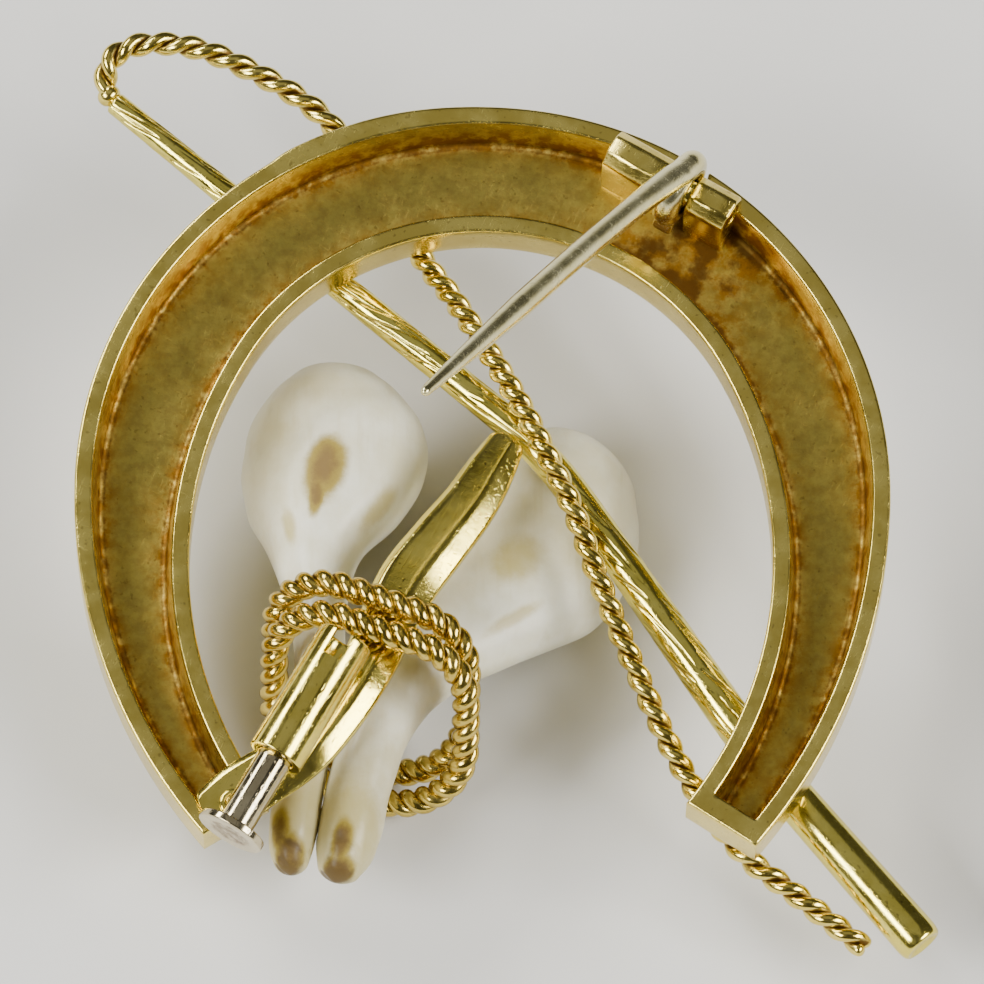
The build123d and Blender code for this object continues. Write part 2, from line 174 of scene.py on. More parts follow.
def filleted(corners: Array, radii: list[float], closed: bool, fine: int = 24) -> Array:
    """Straight runs joined by round arcs that touch both runs.

    Args:
        corners: Corner points.
        radii: Radius at each corner that turns.
        closed: Whether the last corner joins the first.
        fine: Points on each arc.

    Returns:
        Points of the line.
    """
    count = len(corners)
    pieces = [] if closed else [corners[:1]]
    turning = range(count) if closed else range(1, count - 1)
    for corner, radius in zip(turning, radii):
        here = corners[corner]
        back, on = unit(corners[corner - 1] - here), unit(corners[(corner + 1) % count] - here)
        half = acos(float(np.clip(back @ on, -1, 1))) / 2
        centre = here + unit(back + on) * radius / sin(half)
        first, last = here + back * radius / tan(half) - centre, here + on * radius / tan(half) - centre
        sweep = np.pi - 2 * half
        u = np.linspace(0, 1, fine)[:, None]
        pieces.append(centre + (np.sin((1 - u) * sweep) * first + np.sin(u * sweep) * last) / sin(sweep))
    pieces.append(pieces[0][:1] if closed else corners[-1:])
    return np.vstack(pieces)


def direction(path: Array, closed: bool) -> Array:
    """Unit direction of a path at each of its points.

    Args:
        path: Points, n by 3.
        closed: Whether the path is a loop without its first point repeated.

    Returns:
        Directions, n by 3.
    """
    return unit(np.roll(path, -1, 0) - np.roll(path, 1, 0) if closed else np.gradient(path, axis=0))


def dome(share: Array) -> Array:
    """Quarter circle: 0 at share 0, upright there, and 1 at share 1, level there."""
    return np.sqrt(share * (2 - share))


def rise(past: Array, width: float) -> Array:
    """Smooth step from 0 to 1 as a value passes 0: 1 over 1 plus e to the minus value by width."""
    return 1 / (1 + np.exp(-past / width))


def corner_curve(before: Array, corner: Array, after: Array, t: Array) -> Array:
    """Quadratic curve from one point to another, drawn towards the corner between them."""
    return (1 - t) ** 2 * before + 2 * t * (1 - t) * corner + t**2 * after


def ripple(points: Array, size: float, seed: int, waves: int = 8) -> Array:
    """Smooth unevenness between about -1 and 1: a sum of sine waves in seeded directions.

    Args:
        points: Points in mm, any shape by 3.
        size: Wave length in mm.
        seed: Seed of the directions, lengths and phases.
        waves: How many waves.

    Returns:
        One value a point.
    """
    draw = np.random.default_rng(seed)
    ways = unit(draw.normal(size=(waves, 3))) * (2 * np.pi / (size * draw.uniform(0.6, 1.7, (waves, 1))))
    return np.sin(points @ ways.T + draw.uniform(0, 2 * np.pi, waves)).sum(-1) / np.sqrt(waves * 2)


def rounded(corners: Array, share: float, fine: int = 5) -> Array:
    """Closed polygons with each corner drawn as a quadratic curve between points on its edges.

    Args:
        corners: Corners, polygons by corners by 2.
        share: How far along each edge the curve starts.
        fine: Points a corner.

    Returns:
        Points, polygons by corners times fine by 2.
    """
    t = np.linspace(0, 1, fine)[None, None, :, None]
    here = corners[:, :, None, :]
    before = here + share * (np.roll(corners, 1, axis=1)[:, :, None, :] - here)
    after = here + share * (np.roll(corners, -1, axis=1)[:, :, None, :] - here)
    return corner_curve(before, here, after, t).reshape(len(corners), -1, 2)


def ring(count: int) -> Array:
    """Unit circle as count points by 2."""
    turns = np.linspace(0, 2 * np.pi, count, endpoint=False)
    return np.stack([np.cos(turns), np.sin(turns)], 1)


def carried(path: Array, across: Array, section: Array, closed: bool = False) -> Array:
    """Section carried along a path: path point plus x times the side and y times the cross.

    The side is the given direction made square to the path, and the cross is the path's
    direction crossed with the side.

    Args:
        path: Points, n by 3.
        across: Direction or directions that the section's x follows.
        section: Points, 1 or n by m by 2.
        closed: Whether the path is a loop without its first point repeated.

    Returns:
        Grid, n by m by 3.
    """
    ahead = direction(path, closed)
    across = np.broadcast_to(across, path.shape)
    side = unit(across - (across * ahead).sum(1, keepdims=True) * ahead)
    cross = np.cross(ahead, side)
    return path[:, None] + section[..., :1] * side[:, None] + section[..., 1:] * cross[:, None]


def turned_profile(profile: Array, origin: Array, ahead: Array, count: int = 72) -> Array:
    """Lathe shape: each profile point's radius swung round the line through the origin.

    Args:
        profile: Distance along the line and radius, n by 2.
        origin: Start of the line.
        ahead: Unit direction of the line.
        count: Points round.

    Returns:
        Grid, n by count by 3.
    """
    side = unit(np.cross(ahead, UP + 0.01))
    circle = ring(count)
    rim = circle[:, :1] * side + circle[:, 1:] * np.cross(ahead, side)
    return origin + profile[:, :1, None] * ahead + profile[:, 1:, None] * rim[None]


def soft_edges(profile: list[tuple[float, float]], size: float = 0.05) -> Array:
    """Profile whose inner corners are small quadratic curves; both its ends stay sharp.

    Args:
        profile: Corners, distance along the line and radius.
        size: How far from the corner each curve starts, in mm.

    Returns:
        Points, n by 2.
    """
    line = np.array(profile)
    here = line[1:-1, None]

    def near(others: Array) -> Array:
        """Point beside each corner on the way to its neighbour."""
        gap = others[:, None] - here
        return here + gap * np.minimum(size / np.linalg.norm(gap, axis=-1, keepdims=True), 0.4)

    t = np.linspace(0, 1, 5)[None, :, None]
    curve = corner_curve(near(line[:-2]), here, near(line[2:]), t)
    return np.vstack([line[:1], curve.reshape(-1, 2), line[-1:]])


class Shell:
    """Grids of points gathered into one mesh, in the jewel's frame until it is built."""

    def __init__(self, name: str) -> None:
        """Start an empty shell.

        Args:
            name: Name of the piece.
        """
        self.name = name
        self.points: list[Array] = []
        self.marks: dict[str, list[Array]] = {}
        self.faces: list[list[int]] = []
        self.count = 0

    def grid(self, points: Array, around: bool = True, along: bool = False, **marks: Array) -> None:
        """Add a grid of quads.

        Args:
            points: Grid, n by m by 3, in mm.
            around: Whether the second direction closes on itself.
            along: Whether the first direction closes on itself.
            marks: Values for each point, kept as attributes.
        """
        n, m = points.shape[:2]
        number = np.arange(n * m).reshape(n, m) + self.count
        if along:
            number = np.vstack([number, number[:1]])
        if around:
            number = np.hstack([number, number[:, :1]])
        quads = np.stack([number[:-1, :-1], number[:-1, 1:], number[1:, 1:], number[1:, :-1]], -1)
        self.faces += quads.reshape(-1, 4).tolist()
        self.points.append(points.reshape(-1, 3))
        for key in sorted(set(self.marks) | set(marks)):
            kept = self.marks.setdefault(key, [np.zeros(self.count)] if self.count else [])
            kept.append(np.broadcast_to(marks.get(key, 0.0), (n, m)).reshape(-1).astype(float))
        self.count += n * m

    def cap(self, *ends: Array) -> None:
        """Close open ends, each with a fan of faces to its middle."""
        for end in ends:
            self.grid(np.stack([end, np.broadcast_to(end.mean(0), end.shape)]))

    def build(self, finish: Any, body: Body, slot: Slot, *nodes: str) -> None:
        """Make the object, join touching points, turn faces outwards and dress it.

        Args:
            finish: Finish with a build method that gives a material.
            body: Body that the piece rides on.
            slot: Record's slot of its finish; not used.
            nodes: CAD nodes that it stands for.
        """
        mesh = bpy.data.meshes.new(self.name)
        mesh.from_pydata(laid(np.vstack(self.points)), [], self.faces)
        for key, values in self.marks.items():
            mark = mesh.attributes.new(key, "FLOAT", "POINT")
            mark.data.foreach_set("value", np.concatenate(values).astype(np.float32))
        work = bmesh.new()
        work.from_mesh(mesh)
        bmesh.ops.remove_doubles(work, verts=work.verts, dist=WELD * MM)
        bmesh.ops.dissolve_degenerate(work, edges=work.edges, dist=TINY_EDGE)
        bmesh.ops.recalc_face_normals(work, faces=work.faces)
        work.to_mesh(mesh)
        work.free()
        mesh.shade_smooth()
        mesh.set_sharp_from_angle(angle=radians(SHARP_FROM))
        piece = bpy.data.objects.new(self.name, mesh)
        bpy.context.scene.collection.objects.link(piece)
        mesh.materials.append(finish.build())
        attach(piece, body.value)
        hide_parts(*nodes)
        LOG.info("%s: %d faces", self.name, len(mesh.polygons))


class Graph:
    """Adds and joins the nodes of one material or node group."""

    def __init__(self, tree: Any) -> None:
        """Work on this node tree."""
        self.tree = tree

    def node(self, kind: str, inputs: dict[Any, Any] | None = None, **settings: Any) -> Any:
        """Add a node.

        Args:
            kind: Node type without the ShaderNode prefix.
            inputs: Input names or numbers, with a value or a socket to join.
            settings: Properties to set first.

        Returns:
            The node.
        """
        made = self.tree.nodes.new("ShaderNode" + kind)
        for key, value in settings.items():
            setattr(made, key, value)
        self.feed(made, inputs or {})
        return made

    def feed(self, made: Any, inputs: dict[Any, Any]) -> None:
        """Set the inputs of a node.

        Args:
            made: The node.
            inputs: Input names or numbers, with a value or a socket to join.
        """
        for key, value in inputs.items():
            if isinstance(value, bpy.types.NodeSocket):
                self.tree.links.new(value, made.inputs[key])
            else:
                made.inputs[key].default_value = value

    def math(self, operation: str, *values: Any, clamp: bool = False) -> Any:
        """Math node's output for one or two values."""
        made = self.node("Math", dict(enumerate(values)), operation=operation, use_clamp=clamp)
        return made.outputs[0]

    def plus(self, value: Any, mask: Any, share: float, clamp: bool = False) -> Any:
        """Value plus a share of a mask."""
        return self.math("ADD", value, self.math("MULTIPLY", mask, share), clamp=clamp)

    def place(self) -> Any:
        """Object coordinates."""
        return self.node("TexCoord").outputs["Object"]

    def fit(self, value: Any, low: float, high: float, to_low: float = 0.0, to_high: float = 1.0) -> Any:
        """Value brought smoothly from one range to another."""
        return self.node("MapRange", {0: value, 1: low, 2: high, 3: to_low, 4: to_high},
                         interpolation_type="SMOOTHSTEP").outputs[0]

    def mix(self, share: Any, first: Any, second: Any) -> Any:
        """Colour between two colours."""
        tones = [(*tone, 1.0) if isinstance(tone, tuple) else tone for tone in (first, second)]
        return self.node("Mix", {0: share, 6: tones[0], 7: tones[1]}, data_type="RGBA").outputs[2]

    def mark(self, name: str) -> Any:
        """The piece's own attribute with this name."""
        return self.node("Attribute", attribute_name=name).outputs["Fac"]

    def noise(self, place: Any, scale: float, detail: float = 3.0, rough: float = 0.55) -> Any:
        """Noise between about 0.3 and 0.7."""
        inputs = {"Vector": place, "Scale": scale, "Detail": detail, "Roughness": rough}
        return self.node("TexNoise", inputs).outputs[0]


def group_tree(name: str, inputs: dict[str, float], outputs: list[str]) -> tuple[Any, Any, Any]:
    """Empty node group with named number sockets.

    Args:
        name: Group's name.
        inputs: Input names with their usual values.
        outputs: Output names.

    Returns:
        The tree, its input node and its output node.
    """
    tree = bpy.data.node_groups.new(name, "ShaderNodeTree")
    for key, value in inputs.items():
        tree.interface.new_socket(key, in_out="INPUT", socket_type="NodeSocketFloat").default_value = value
    for key in outputs:
        tree.interface.new_socket(key, in_out="OUTPUT", socket_type="NodeSocketFloat")
    return tree, tree.nodes.new("NodeGroupInput"), tree.nodes.new("NodeGroupOutput")


def new_material(name: str) -> tuple[Any, Graph, Any]:
    """Start a material.

    Args:
        name: Name of the material.

    Returns:
        The material, the graph of its nodes, and its shader.
    """
    made = bpy.data.materials.new(name)
    made.use_nodes = True
    return made, Graph(made.node_tree), made.node_tree.nodes["Principled BSDF"]


def wear_group() -> Any:
    """Shared effect: clouds of handling, fine scratches both ways, pits, and their height.

    Returns:
        The node group, made once.
    """
    if "Handling wear" in bpy.data.node_groups:
        return bpy.data.node_groups["Handling wear"]
    scales = {"Cloud Scale": 500.0, "Scratch Scale": 2500.0}
    tree, given, out = group_tree("Handling wear", scales, ["Cloud", "Scratch", "Pits", "Height"])
    graph = Graph(tree)
    place = graph.place()
    cloud = graph.fit(graph.noise(place, given.outputs["Cloud Scale"], detail=4, rough=0.6), 0.36, 0.64)
    lines = []
    for turn, stretch in ((0.5, 0.05), (-1.1, 0.04), (1.9, 0.07)):
        spun = graph.node("Mapping", {"Vector": place, "Rotation": (0.1, 0.2, turn)})
        squeezed = graph.node("Mapping", {"Vector": spun.outputs[0], "Scale": (stretch, 1, 1)})
        fine = graph.noise(squeezed.outputs[0], given.outputs["Scratch Scale"], detail=2, rough=0.6)
        lines.append(graph.fit(fine, 0.60, 0.72))
    scratch = graph.math("MAXIMUM", graph.math("MAXIMUM", lines[0], lines[1]), lines[2])
    pit_scale = graph.math("MULTIPLY", given.outputs["Cloud Scale"], 6.0)
    pits = graph.fit(graph.noise(place, pit_scale, detail=1, rough=0.5), 0.66, 0.76)
    height = graph.plus(graph.plus(graph.math("MULTIPLY", cloud, 0.5), scratch, -0.35), pits, -0.6)
    for key, value in (("Cloud", cloud), ("Scratch", scratch), ("Pits", pits), ("Height", height)):
        tree.links.new(value, out.inputs[key])
    return tree


def shade_and_tarnish_group() -> Any:
    """Shared effect: tarnish and painted shade that gather in hollows, their edge broken up by noise.

    Returns:
        The node group, made once.
    """
    if "Hollow shade and tarnish" in bpy.data.node_groups:
        return bpy.data.node_groups["Hollow shade and tarnish"]
    tree, given, out = group_tree(
        "Hollow shade and tarnish", {"Hollow": 0.0, "Start": 0.4, "Full": 0.9, "Speckle Scale": 2500.0}, ["Tarnish"]
    )
    graph = Graph(tree)
    place = graph.place()
    speckle = graph.noise(place, given.outputs["Speckle Scale"], detail=3, rough=0.65)
    speckle = graph.math("SUBTRACT", speckle, 0.5)
    value = graph.plus(given.outputs["Hollow"], speckle, 0.9)
    span = graph.node("MapRange", {0: value, 1: given.outputs["Start"], 2: given.outputs["Full"]},
                      interpolation_type="SMOOTHSTEP")
    tree.links.new(span.outputs[0], out.inputs["Tarnish"])
    return tree


@dataclass(frozen=True)
class MetalFinish:
    """Worn gold: two tones in clouds, scratches, pits, and tarnish with painted shade in its hollows."""

    name: str
    bright: Colour = (0.84, 0.68, 0.17)
    deep: Colour = (0.74, 0.57, 0.115)
    # dark tone of the pits, and of tarnish and painted shade in the hollows
    tarnish_and_shade: Colour = (0.11, 0.05, 0.012)
    # warm tone: the heat stain, and a painted warm reflection of gold in gold on the tray's walls and foot
    warm: Colour = (0.33, 0.165, 0.016)
    satin: Colour = (0.54, 0.43, 0.09)
    dull: Colour = (0.42, 0.31, 0.07)
    roughness: float = 0.17
    spread: float = 0.06
    cloud_scale: float = 700.0
    scratch_scale: float = 9000.0
    bump: float = 0.000005
    hollow_start: float = 0.45
    hollow_full: float = 1.0
    shade_and_tarnish_share: float = 0.85
    grain_scale: float = 2200.0
    ragged_scale: float = 1300.0
    pit_share: float = 0.35
    # how much each mark adds to the roughness
    scratch_rough: float = 0.06
    satin_rough: float = 0.13
    warm_rough: float = 0.20
    shade_and_dirt_rough: float = 0.35

    def build(self) -> Any:
        """Material of this finish, made once.

        Returns:
            The material.
        """
        if self.name in bpy.data.materials:
            return bpy.data.materials[self.name]
        made, graph, shader = new_material(self.name)
        scales = {"Cloud Scale": self.cloud_scale, "Scratch Scale": self.scratch_scale}
        wear = graph.node("Group", scales, node_tree=wear_group()).outputs
        limits = {"Hollow": graph.mark("hollow"), "Start": self.hollow_start, "Full": self.hollow_full}
        shade_and_tarnish = graph.node("Group", limits, node_tree=shade_and_tarnish_group()).outputs
        # tarnish in the hollows, which also paints their shade
        shade_and_dirt = graph.math("MULTIPLY", shade_and_tarnish["Tarnish"], self.shade_and_tarnish_share)
        satin, warm, place = graph.mark("satin"), graph.mark("warm"), graph.place()
        grain = graph.fit(graph.noise(place, self.grain_scale, detail=6, rough=0.75), 0.36, 0.66)
        ragged = graph.noise(place, self.ragged_scale, detail=5, rough=0.7)
        ragged = graph.fit(ragged, 0.38, 0.62, to_low=0.35, to_high=1.5)
        tone = graph.mix(wear["Cloud"], self.deep, self.bright)
        for share, colour in (
            (satin, graph.mix(grain, self.satin, self.dull)),
            (graph.math("MULTIPLY", warm, ragged, clamp=True), self.warm),
            (graph.math("MULTIPLY", wear["Pits"], self.pit_share), self.tarnish_and_shade),
            (shade_and_dirt, self.tarnish_and_shade),
        ):
            tone = graph.mix(share, tone, colour)
        rough = self.roughness
        for mask, share in ((wear["Cloud"], self.spread), (wear["Scratch"], self.scratch_rough),
                            (satin, self.satin_rough), (warm, self.warm_rough)):
            rough = graph.plus(rough, mask, share)
        rough = graph.plus(rough, shade_and_dirt, self.shade_and_dirt_rough, clamp=True)
        bump = graph.node("Bump", {"Height": wear["Height"], "Distance": self.bump, "Strength": 1.0})
        graph.feed(shader, {
            "Base Color": tone, "Roughness": rough, "Normal": bump.outputs[0], "Metallic": 1.0,
        })
        return made


@dataclass(frozen=True)
class ToothFinish:
    """Polished tooth: ivory clouds, straw patches, brown stains and a dark root end."""

    name: str = "Deer tooth"
    ivory: Colour = (0.70, 0.67, 0.50)
    chalk: Colour = (0.82, 0.81, 0.69)
    straw: Colour = (0.42, 0.33, 0.045)
    olive: Colour = (0.31, 0.225, 0.015)
    brown: Colour = (0.16, 0.088, 0.004)
    dark: Colour = (0.095, 0.052, 0.004)
    roughness: float = 0.34
    cloud_scale: float = 260.0
    streak_scale: float = 500.0
    ragged_scale: float = 900.0
    fine_scale: float = 1800.0
    bump: float = 0.00003

    def build(self) -> Any:
        """Material of this finish, made once.

        Returns:
            The material.
        """
        if self.name in bpy.data.materials:
            return bpy.data.materials[self.name]
        made, graph, shader = new_material(self.name)
        place = graph.place()
        cloud = graph.fit(graph.noise(place, self.cloud_scale, detail=5, rough=0.6), 0.35, 0.65)
        drawn = graph.node("Mapping", {"Vector": place, "Scale": (3.5, 0.5, 2.0)}).outputs[0]
        streak = graph.noise(drawn, self.streak_scale, detail=4)
        broken = graph.noise(place, self.ragged_scale, detail=5, rough=0.7)
        broken = graph.math("SUBTRACT", broken, 0.5)

        def spread(name: str, low: float, high: float, rag: float) -> Any:
            """Mask from an attribute, its edge made ragged."""
            return graph.fit(graph.plus(graph.mark(name), broken, rag), low, high)

        brown = spread("brown", 0.28, 0.72, 0.45)
        tone = graph.mix(cloud, self.ivory, self.chalk)
        for share, colour in (
            (graph.fit(streak, 0.5, 0.78, 0, 0.2), self.straw),
            (graph.math("MULTIPLY", spread("straw", 0.25, 1.05, 0.8), 0.65), self.straw),
            (graph.math("MULTIPLY", brown, 0.95),
             graph.mix(spread("brown", 0.62, 1.0, 0.7), self.olive, self.brown)),
            (graph.math("MULTIPLY", spread("root", 0.35, 0.75, 0.6), 0.92), self.dark),
        ):
            tone = graph.mix(share, tone, colour)
        rough = graph.plus(graph.plus(self.roughness, cloud, 0.12), brown, 0.25, clamp=True)
        fine = graph.plus(graph.noise(place, self.fine_scale), streak, 0.8)
        bump = graph.node("Bump", {"Height": fine, "Distance": self.bump, "Strength": 0.6})
        graph.feed(shader, {
            "Base Color": tone, "Roughness": rough, "Normal": bump.outputs[0], "Subsurface Weight": 0.12,
            "Subsurface Radius": (1.0, 0.7, 0.4), "Subsurface Scale": 0.0006, "Coat Weight": 0.1,
            "Coat Roughness": 0.2,
        })
        return made


@dataclass(frozen=True)
class TableFinish:
    """Plain pale tabletop, its tone a little uneven."""

    name: str = "Pale table"
    tone: Colour = (0.74, 0.735, 0.72)
    cloud_scale: float = 300.0
    darker: float = 0.96
    roughness: float = 0.8

    def build(self) -> Any:
        """Material of the table.

        Returns:
            The material.
        """
        made, graph, shader = new_material(self.name)
        cloud = graph.noise(graph.place(), self.cloud_scale)
        shade = tuple(part * self.darker for part in self.tone)
        graph.feed(shader, {"Base Color": graph.mix(cloud, shade, self.tone), "Roughness": self.roughness})
        return made


RIM_GOLD = MetalFinish("Horseshoe gold", spread=0.08)
WHIP_GOLD = MetalFinish("Engraved whip gold", bright=(0.84, 0.72, 0.16), deep=(0.76, 0.63, 0.11),
                        roughness=0.14, hollow_start=0.25, hollow_full=0.8, shade_and_tarnish_share=0.7)
STRAP_GOLD = MetalFinish("Strap gold", bright=(0.86, 0.71, 0.16), deep=(0.78, 0.62, 0.11), roughness=0.12)
# the twisted wire's hollows darken early and hard: painted shade between the strands
ROPE_GOLD = MetalFinish("Twisted wire gold", roughness=0.15, cloud_scale=1100.0,
                        hollow_start=0.30, hollow_full=0.66, shade_and_tarnish_share=0.95)
# a darker copy of the twisted wire gold: painted shade over the whole binding, and harder painted shade
# between its strands
SHADED_BINDING_GOLD = MetalFinish("Binding wire gold", bright=(0.74, 0.56, 0.13), deep=(0.60, 0.44, 0.085),
                           roughness=0.16, cloud_scale=1100.0, hollow_start=0.24, hollow_full=0.60,
                           shade_and_tarnish_share=0.97)
PIN_GOLD = MetalFinish("Pin gold", bright=(0.80, 0.74, 0.42), deep=(0.68, 0.61, 0.30), roughness=0.19)
PLUNGER_GOLD = MetalFinish("Catch tube gold", bright=(0.60, 0.52, 0.33), deep=(0.48, 0.40, 0.24),
                           roughness=0.10)


@dataclass
class Horseshoe:
    """Open tray in the shape of a horseshoe, with its rim and the two hinge bars."""

    thickness: float = 2.5
    toe_outer: float = 17.45
    right_outer: float = 24.84
    left_outer: float = 23.6
    toe_width: float = 5.85
    right_heel: float = 3.511
    left_heel: float = 3.201
    toe_shift: float = 0.13
    join_turn: float = 29.8
    heel_drop: float = 15.65
    heel_slant: float = 32.2
    floor: float = 0.45
    rim: float = 0.78
    draft: float = 0.20
    foot: float = 0.25
    heel_wall: float = 1.2
    front_round: float = 0.4
    edge_round: float = 0.13
    hinge_inset: float = 1.441
    hinge_place: float = 59.19
    hinge_skew: float = 1.31
    hinge_height: float = 2.9
    cheek: float = 0.68
    notch_depth: float = 1.65
    bar_width: float = 1.8
    bar_top: float = 3.75
    bar_bevel: float = 0.5
    left_bar: float = 2.72
    right_bar: float = 1.92
    bore: float = 0.58
    rivet: float = 0.55
    # how far the rivet's ends lie inside the bars', and one end's round: way in and share of the radius
    rivet_inset: float = 0.05
    rivet_end: Rows = ((-0.04, 0), (-0.03, 0.6), (0, 0.92), (0.05, 1))
    bar_round: float = 0.14
    # the bars' end faces: how much smaller, and how far in the full size starts
    bar_end: float = 0.93
    bar_soft: float = 0.07
    along: int = 460
    across: int = 16
    # painted shade on the tray's walls, and painted shade and a painted warm reflection of gold in gold on
    # its foot and lower walls
    wall_shade: float = 0.55
    foot_shade: float = 0.8
    foot_reflection: float = 0.85
    # marks of the tray's bed, painted shade and a painted warm reflection by its walls: strength at its
    # edges and how fast they fade, in mm
    edge_shade: tuple[float, float] = (0.68, 0.22)
    edge_reflection: tuple[float, float] = (0.75, 0.5)
    bed_hollow: float = 0.12
    # unevenness of the rim, of the tray's bed and of its warmth: wave length, seed and amount
    rim_uneven: tuple[float, int, float] = (5.0, 3, 0.008)
    bed_uneven: tuple[float, int, float] = (3.5, 5, 0.02)
    warm_uneven: tuple[float, int, float] = (4.0, 9, 0.12)
    # middle of the stain seen from the pivot, its size and its strength
    stain_off: tuple[float, float] = (0.2, -2.6)
    stain_size: float = 3.5
    stain: float = 1.1
    # tarnish that the stain adds on the walls and on the bed
    stain_hollow: tuple[float, float] = (0.4, 0.85)
    # small step in the outer edge: how far out, and the turns where it starts and fades
    step: float = 0.14
    step_turns: tuple[float, float] = (121.5, 98.0)

    def heel_corner(self, outer: float) -> Array:
        """Outer corner of a heel whose side arc has this radius, as if on the right."""
        return np.array([self.toe_outer - outer, 0]) + plan(-degrees(asin(self.heel_drop / outer)), outer)

    def branch(self, outer: float, heel: float, inset: float, heel_inset: float) -> tuple[Array, Array]:
        """Outer and inner edge of a branch from heel to toe, as if on the right.

        Each edge is a circular arc that ends where it meets the heel's straight line.

        Args:
            outer: Radius of its outer arc.
            heel: Width of its heel.
            inset: How far the edges are drawn in.
            heel_inset: How far the heel's line is drawn in.

        Returns:
            Outer and inner points.
        """
        square_on = 90 - self.heel_slant
        normal = plan(square_on)
        limit = normal @ self.heel_corner(outer) + heel_inset

        def heel_turn(centre: Array, radius: float) -> float:
            """Turn at which an arc meets the heel's line."""
            return square_on - degrees(acos((limit - normal @ centre) / radius))

        shifted = np.array([0, self.toe_shift])
        start = shifted + plan(self.join_turn, self.toe_outer - self.toe_width)
        chord = self.heel_corner(outer) + plan(180 - self.heel_slant, heel) - start
        radius = -(chord @ chord) / (2 * plan(self.join_turn) @ chord)
        inner_centre = start - plan(self.join_turn, radius)
        outer_centre = np.array([self.toe_outer - outer, 0])
        edge = plan_arc(outer_centre, outer - inset, heel_turn(outer_centre, outer - inset), 0, 160)
        reach = radius + inset
        back = plan_arc(inner_centre, reach, heel_turn(inner_centre, reach), self.join_turn, 160)
        return edge, back

    def edges(self, inset: float, heel_inset: float) -> tuple[Array, Array]:
        """Whole outer and inner edge from right heel to left heel, at even steps.

        Args:
            inset: How far the edges are drawn in.
            heel_inset: How far the heels' lines are drawn in.

        Returns:
            Outer and inner points.
        """
        right_edge, right_back = self.branch(self.right_outer, self.right_heel, inset, heel_inset)
        left_edge, left_back = (
            side[::-1] * [-1, 1] for side in self.branch(self.left_outer, self.left_heel, inset, heel_inset)
        )
        toe = plan_arc(np.zeros(2), self.toe_outer - inset, 0, 180, 400)[1:-1]
        shifted = np.array([0, self.toe_shift])
        inner = self.toe_outer - self.toe_width + inset
        toe_back = plan_arc(shifted, inner, self.join_turn, 180 - self.join_turn, 300)[1:-1]
        outer_line = np.vstack([right_edge, toe, left_edge])
        inner_line = np.vstack([right_back, toe_back, left_back])
        return even_steps(outer_line, self.along), even_steps(inner_line, self.along)

    def sheet(self, inset: float, heel_inset: float, height: float) -> Array:
        """Flat sheet inside an outline: points between outer and inner edge at one height.

        Args:
            inset: How far the edges are drawn in.
            heel_inset: How far the heels' lines are drawn in.
            height: Height of the sheet.

        Returns:
            Grid, along by across by 3.
        """
        outer, inner = self.edges(inset, heel_inset)
        share = np.linspace(0, 1, self.across)[None, :, None]
        flat = outer[:, None] * (1 - share) + inner[:, None] * share
        return np.concatenate([flat, np.full((*flat.shape[:2], 1), height)], -1)

    def loop(self, inset: float, heel_inset: float, height: float) -> Array:
        """The sheet's border as one closed loop."""
        flat = self.sheet(inset, heel_inset, height)
        return np.vstack([flat[:, 0], flat[-1, 1:-1], flat[::-1, -1], flat[0, -2:0:-1]])

    def levels(self) -> list[tuple[float, float, float, float, float]]:
        """Rounds of the section, from the front edge over the rim to the tray's foot.

        Returns:
            Rows of inset, heel inset, height, hollow and warm.
        """
        rows = []
        for turn in np.radians(np.linspace(0, 90, 6)):
            drawn = self.front_round * (1 - sin(turn))
            rows.append((drawn, drawn, self.front_round * (1 - cos(turn)), 0.0, 0.0))
        r, top = self.edge_round, self.thickness
        rows += [(0.0, 0.0, top * share, 0.0, 0.0) for share in (0.35, 0.6, 0.8)]
        for turn in np.radians(np.linspace(0, 90, 5)):
            drawn = r * (1 - cos(turn))
            rows.append((drawn, drawn, top - r + r * sin(turn), 0.0, 0.0))
        more = self.heel_wall - self.draft - self.rim
        rows.append((self.rim / 2, self.rim / 2 + more / 2, top + 0.015, 0.0, 0.0))
        for turn in np.radians(np.linspace(0, 90, 5)):
            drawn = self.rim - r + r * sin(turn)
            rows.append((drawn, drawn + more, top - r + r * cos(turn), 0.0, 0.0))
        # the walls: painted shade that grows downwards, and a painted warm reflection of gold in gold
        for share in np.linspace(0.12, 1, 7):
            height = top - r + (self.floor + self.foot - top + r) * share
            drawn = self.rim + self.draft * share
            warm = min(self.foot_reflection, 1.2 * share)
            rows.append((drawn, drawn + more, height, self.wall_shade * share, warm))
        # the foot: full painted shade and painted warm reflection
        for turn in np.radians(np.linspace(15, 90, 5)):
            drawn = self.rim + self.draft + self.foot * (1 - cos(turn))
            height = self.floor + self.foot * (1 - sin(turn))
            rows.append((drawn, drawn + more, height, self.foot_shade, self.foot_reflection))
        return rows

    def hinge_frame(self) -> tuple[Array, Array, Array]:
        """Where the hinge is and how it is turned.

        Returns:
            Pivot, direction along the rivet, and direction away from the toe's middle.
        """
        pivot = np.append(plan(self.hinge_place, self.toe_outer - self.hinge_inset), self.hinge_height)
        turn = self.hinge_place + self.hinge_skew - 90
        return pivot, level(turn), level(turn + 90)

    def notched(self, points: Array) -> Array:
        """Lower the rim to the notch's floor where the pin's eye passes it.

        Args:
            points: Points of the tray.

        Returns:
            Moved points.
        """
        pivot, along, away = self.hinge_frame()
        place = points - pivot
        inside = (np.abs(place @ along) < self.cheek) & (place @ away > 0)
        lowered = points.copy()
        lowered[..., 2] = np.where(inside, np.minimum(points[..., 2], self.thickness - self.notch_depth),
                                   points[..., 2])
        return lowered

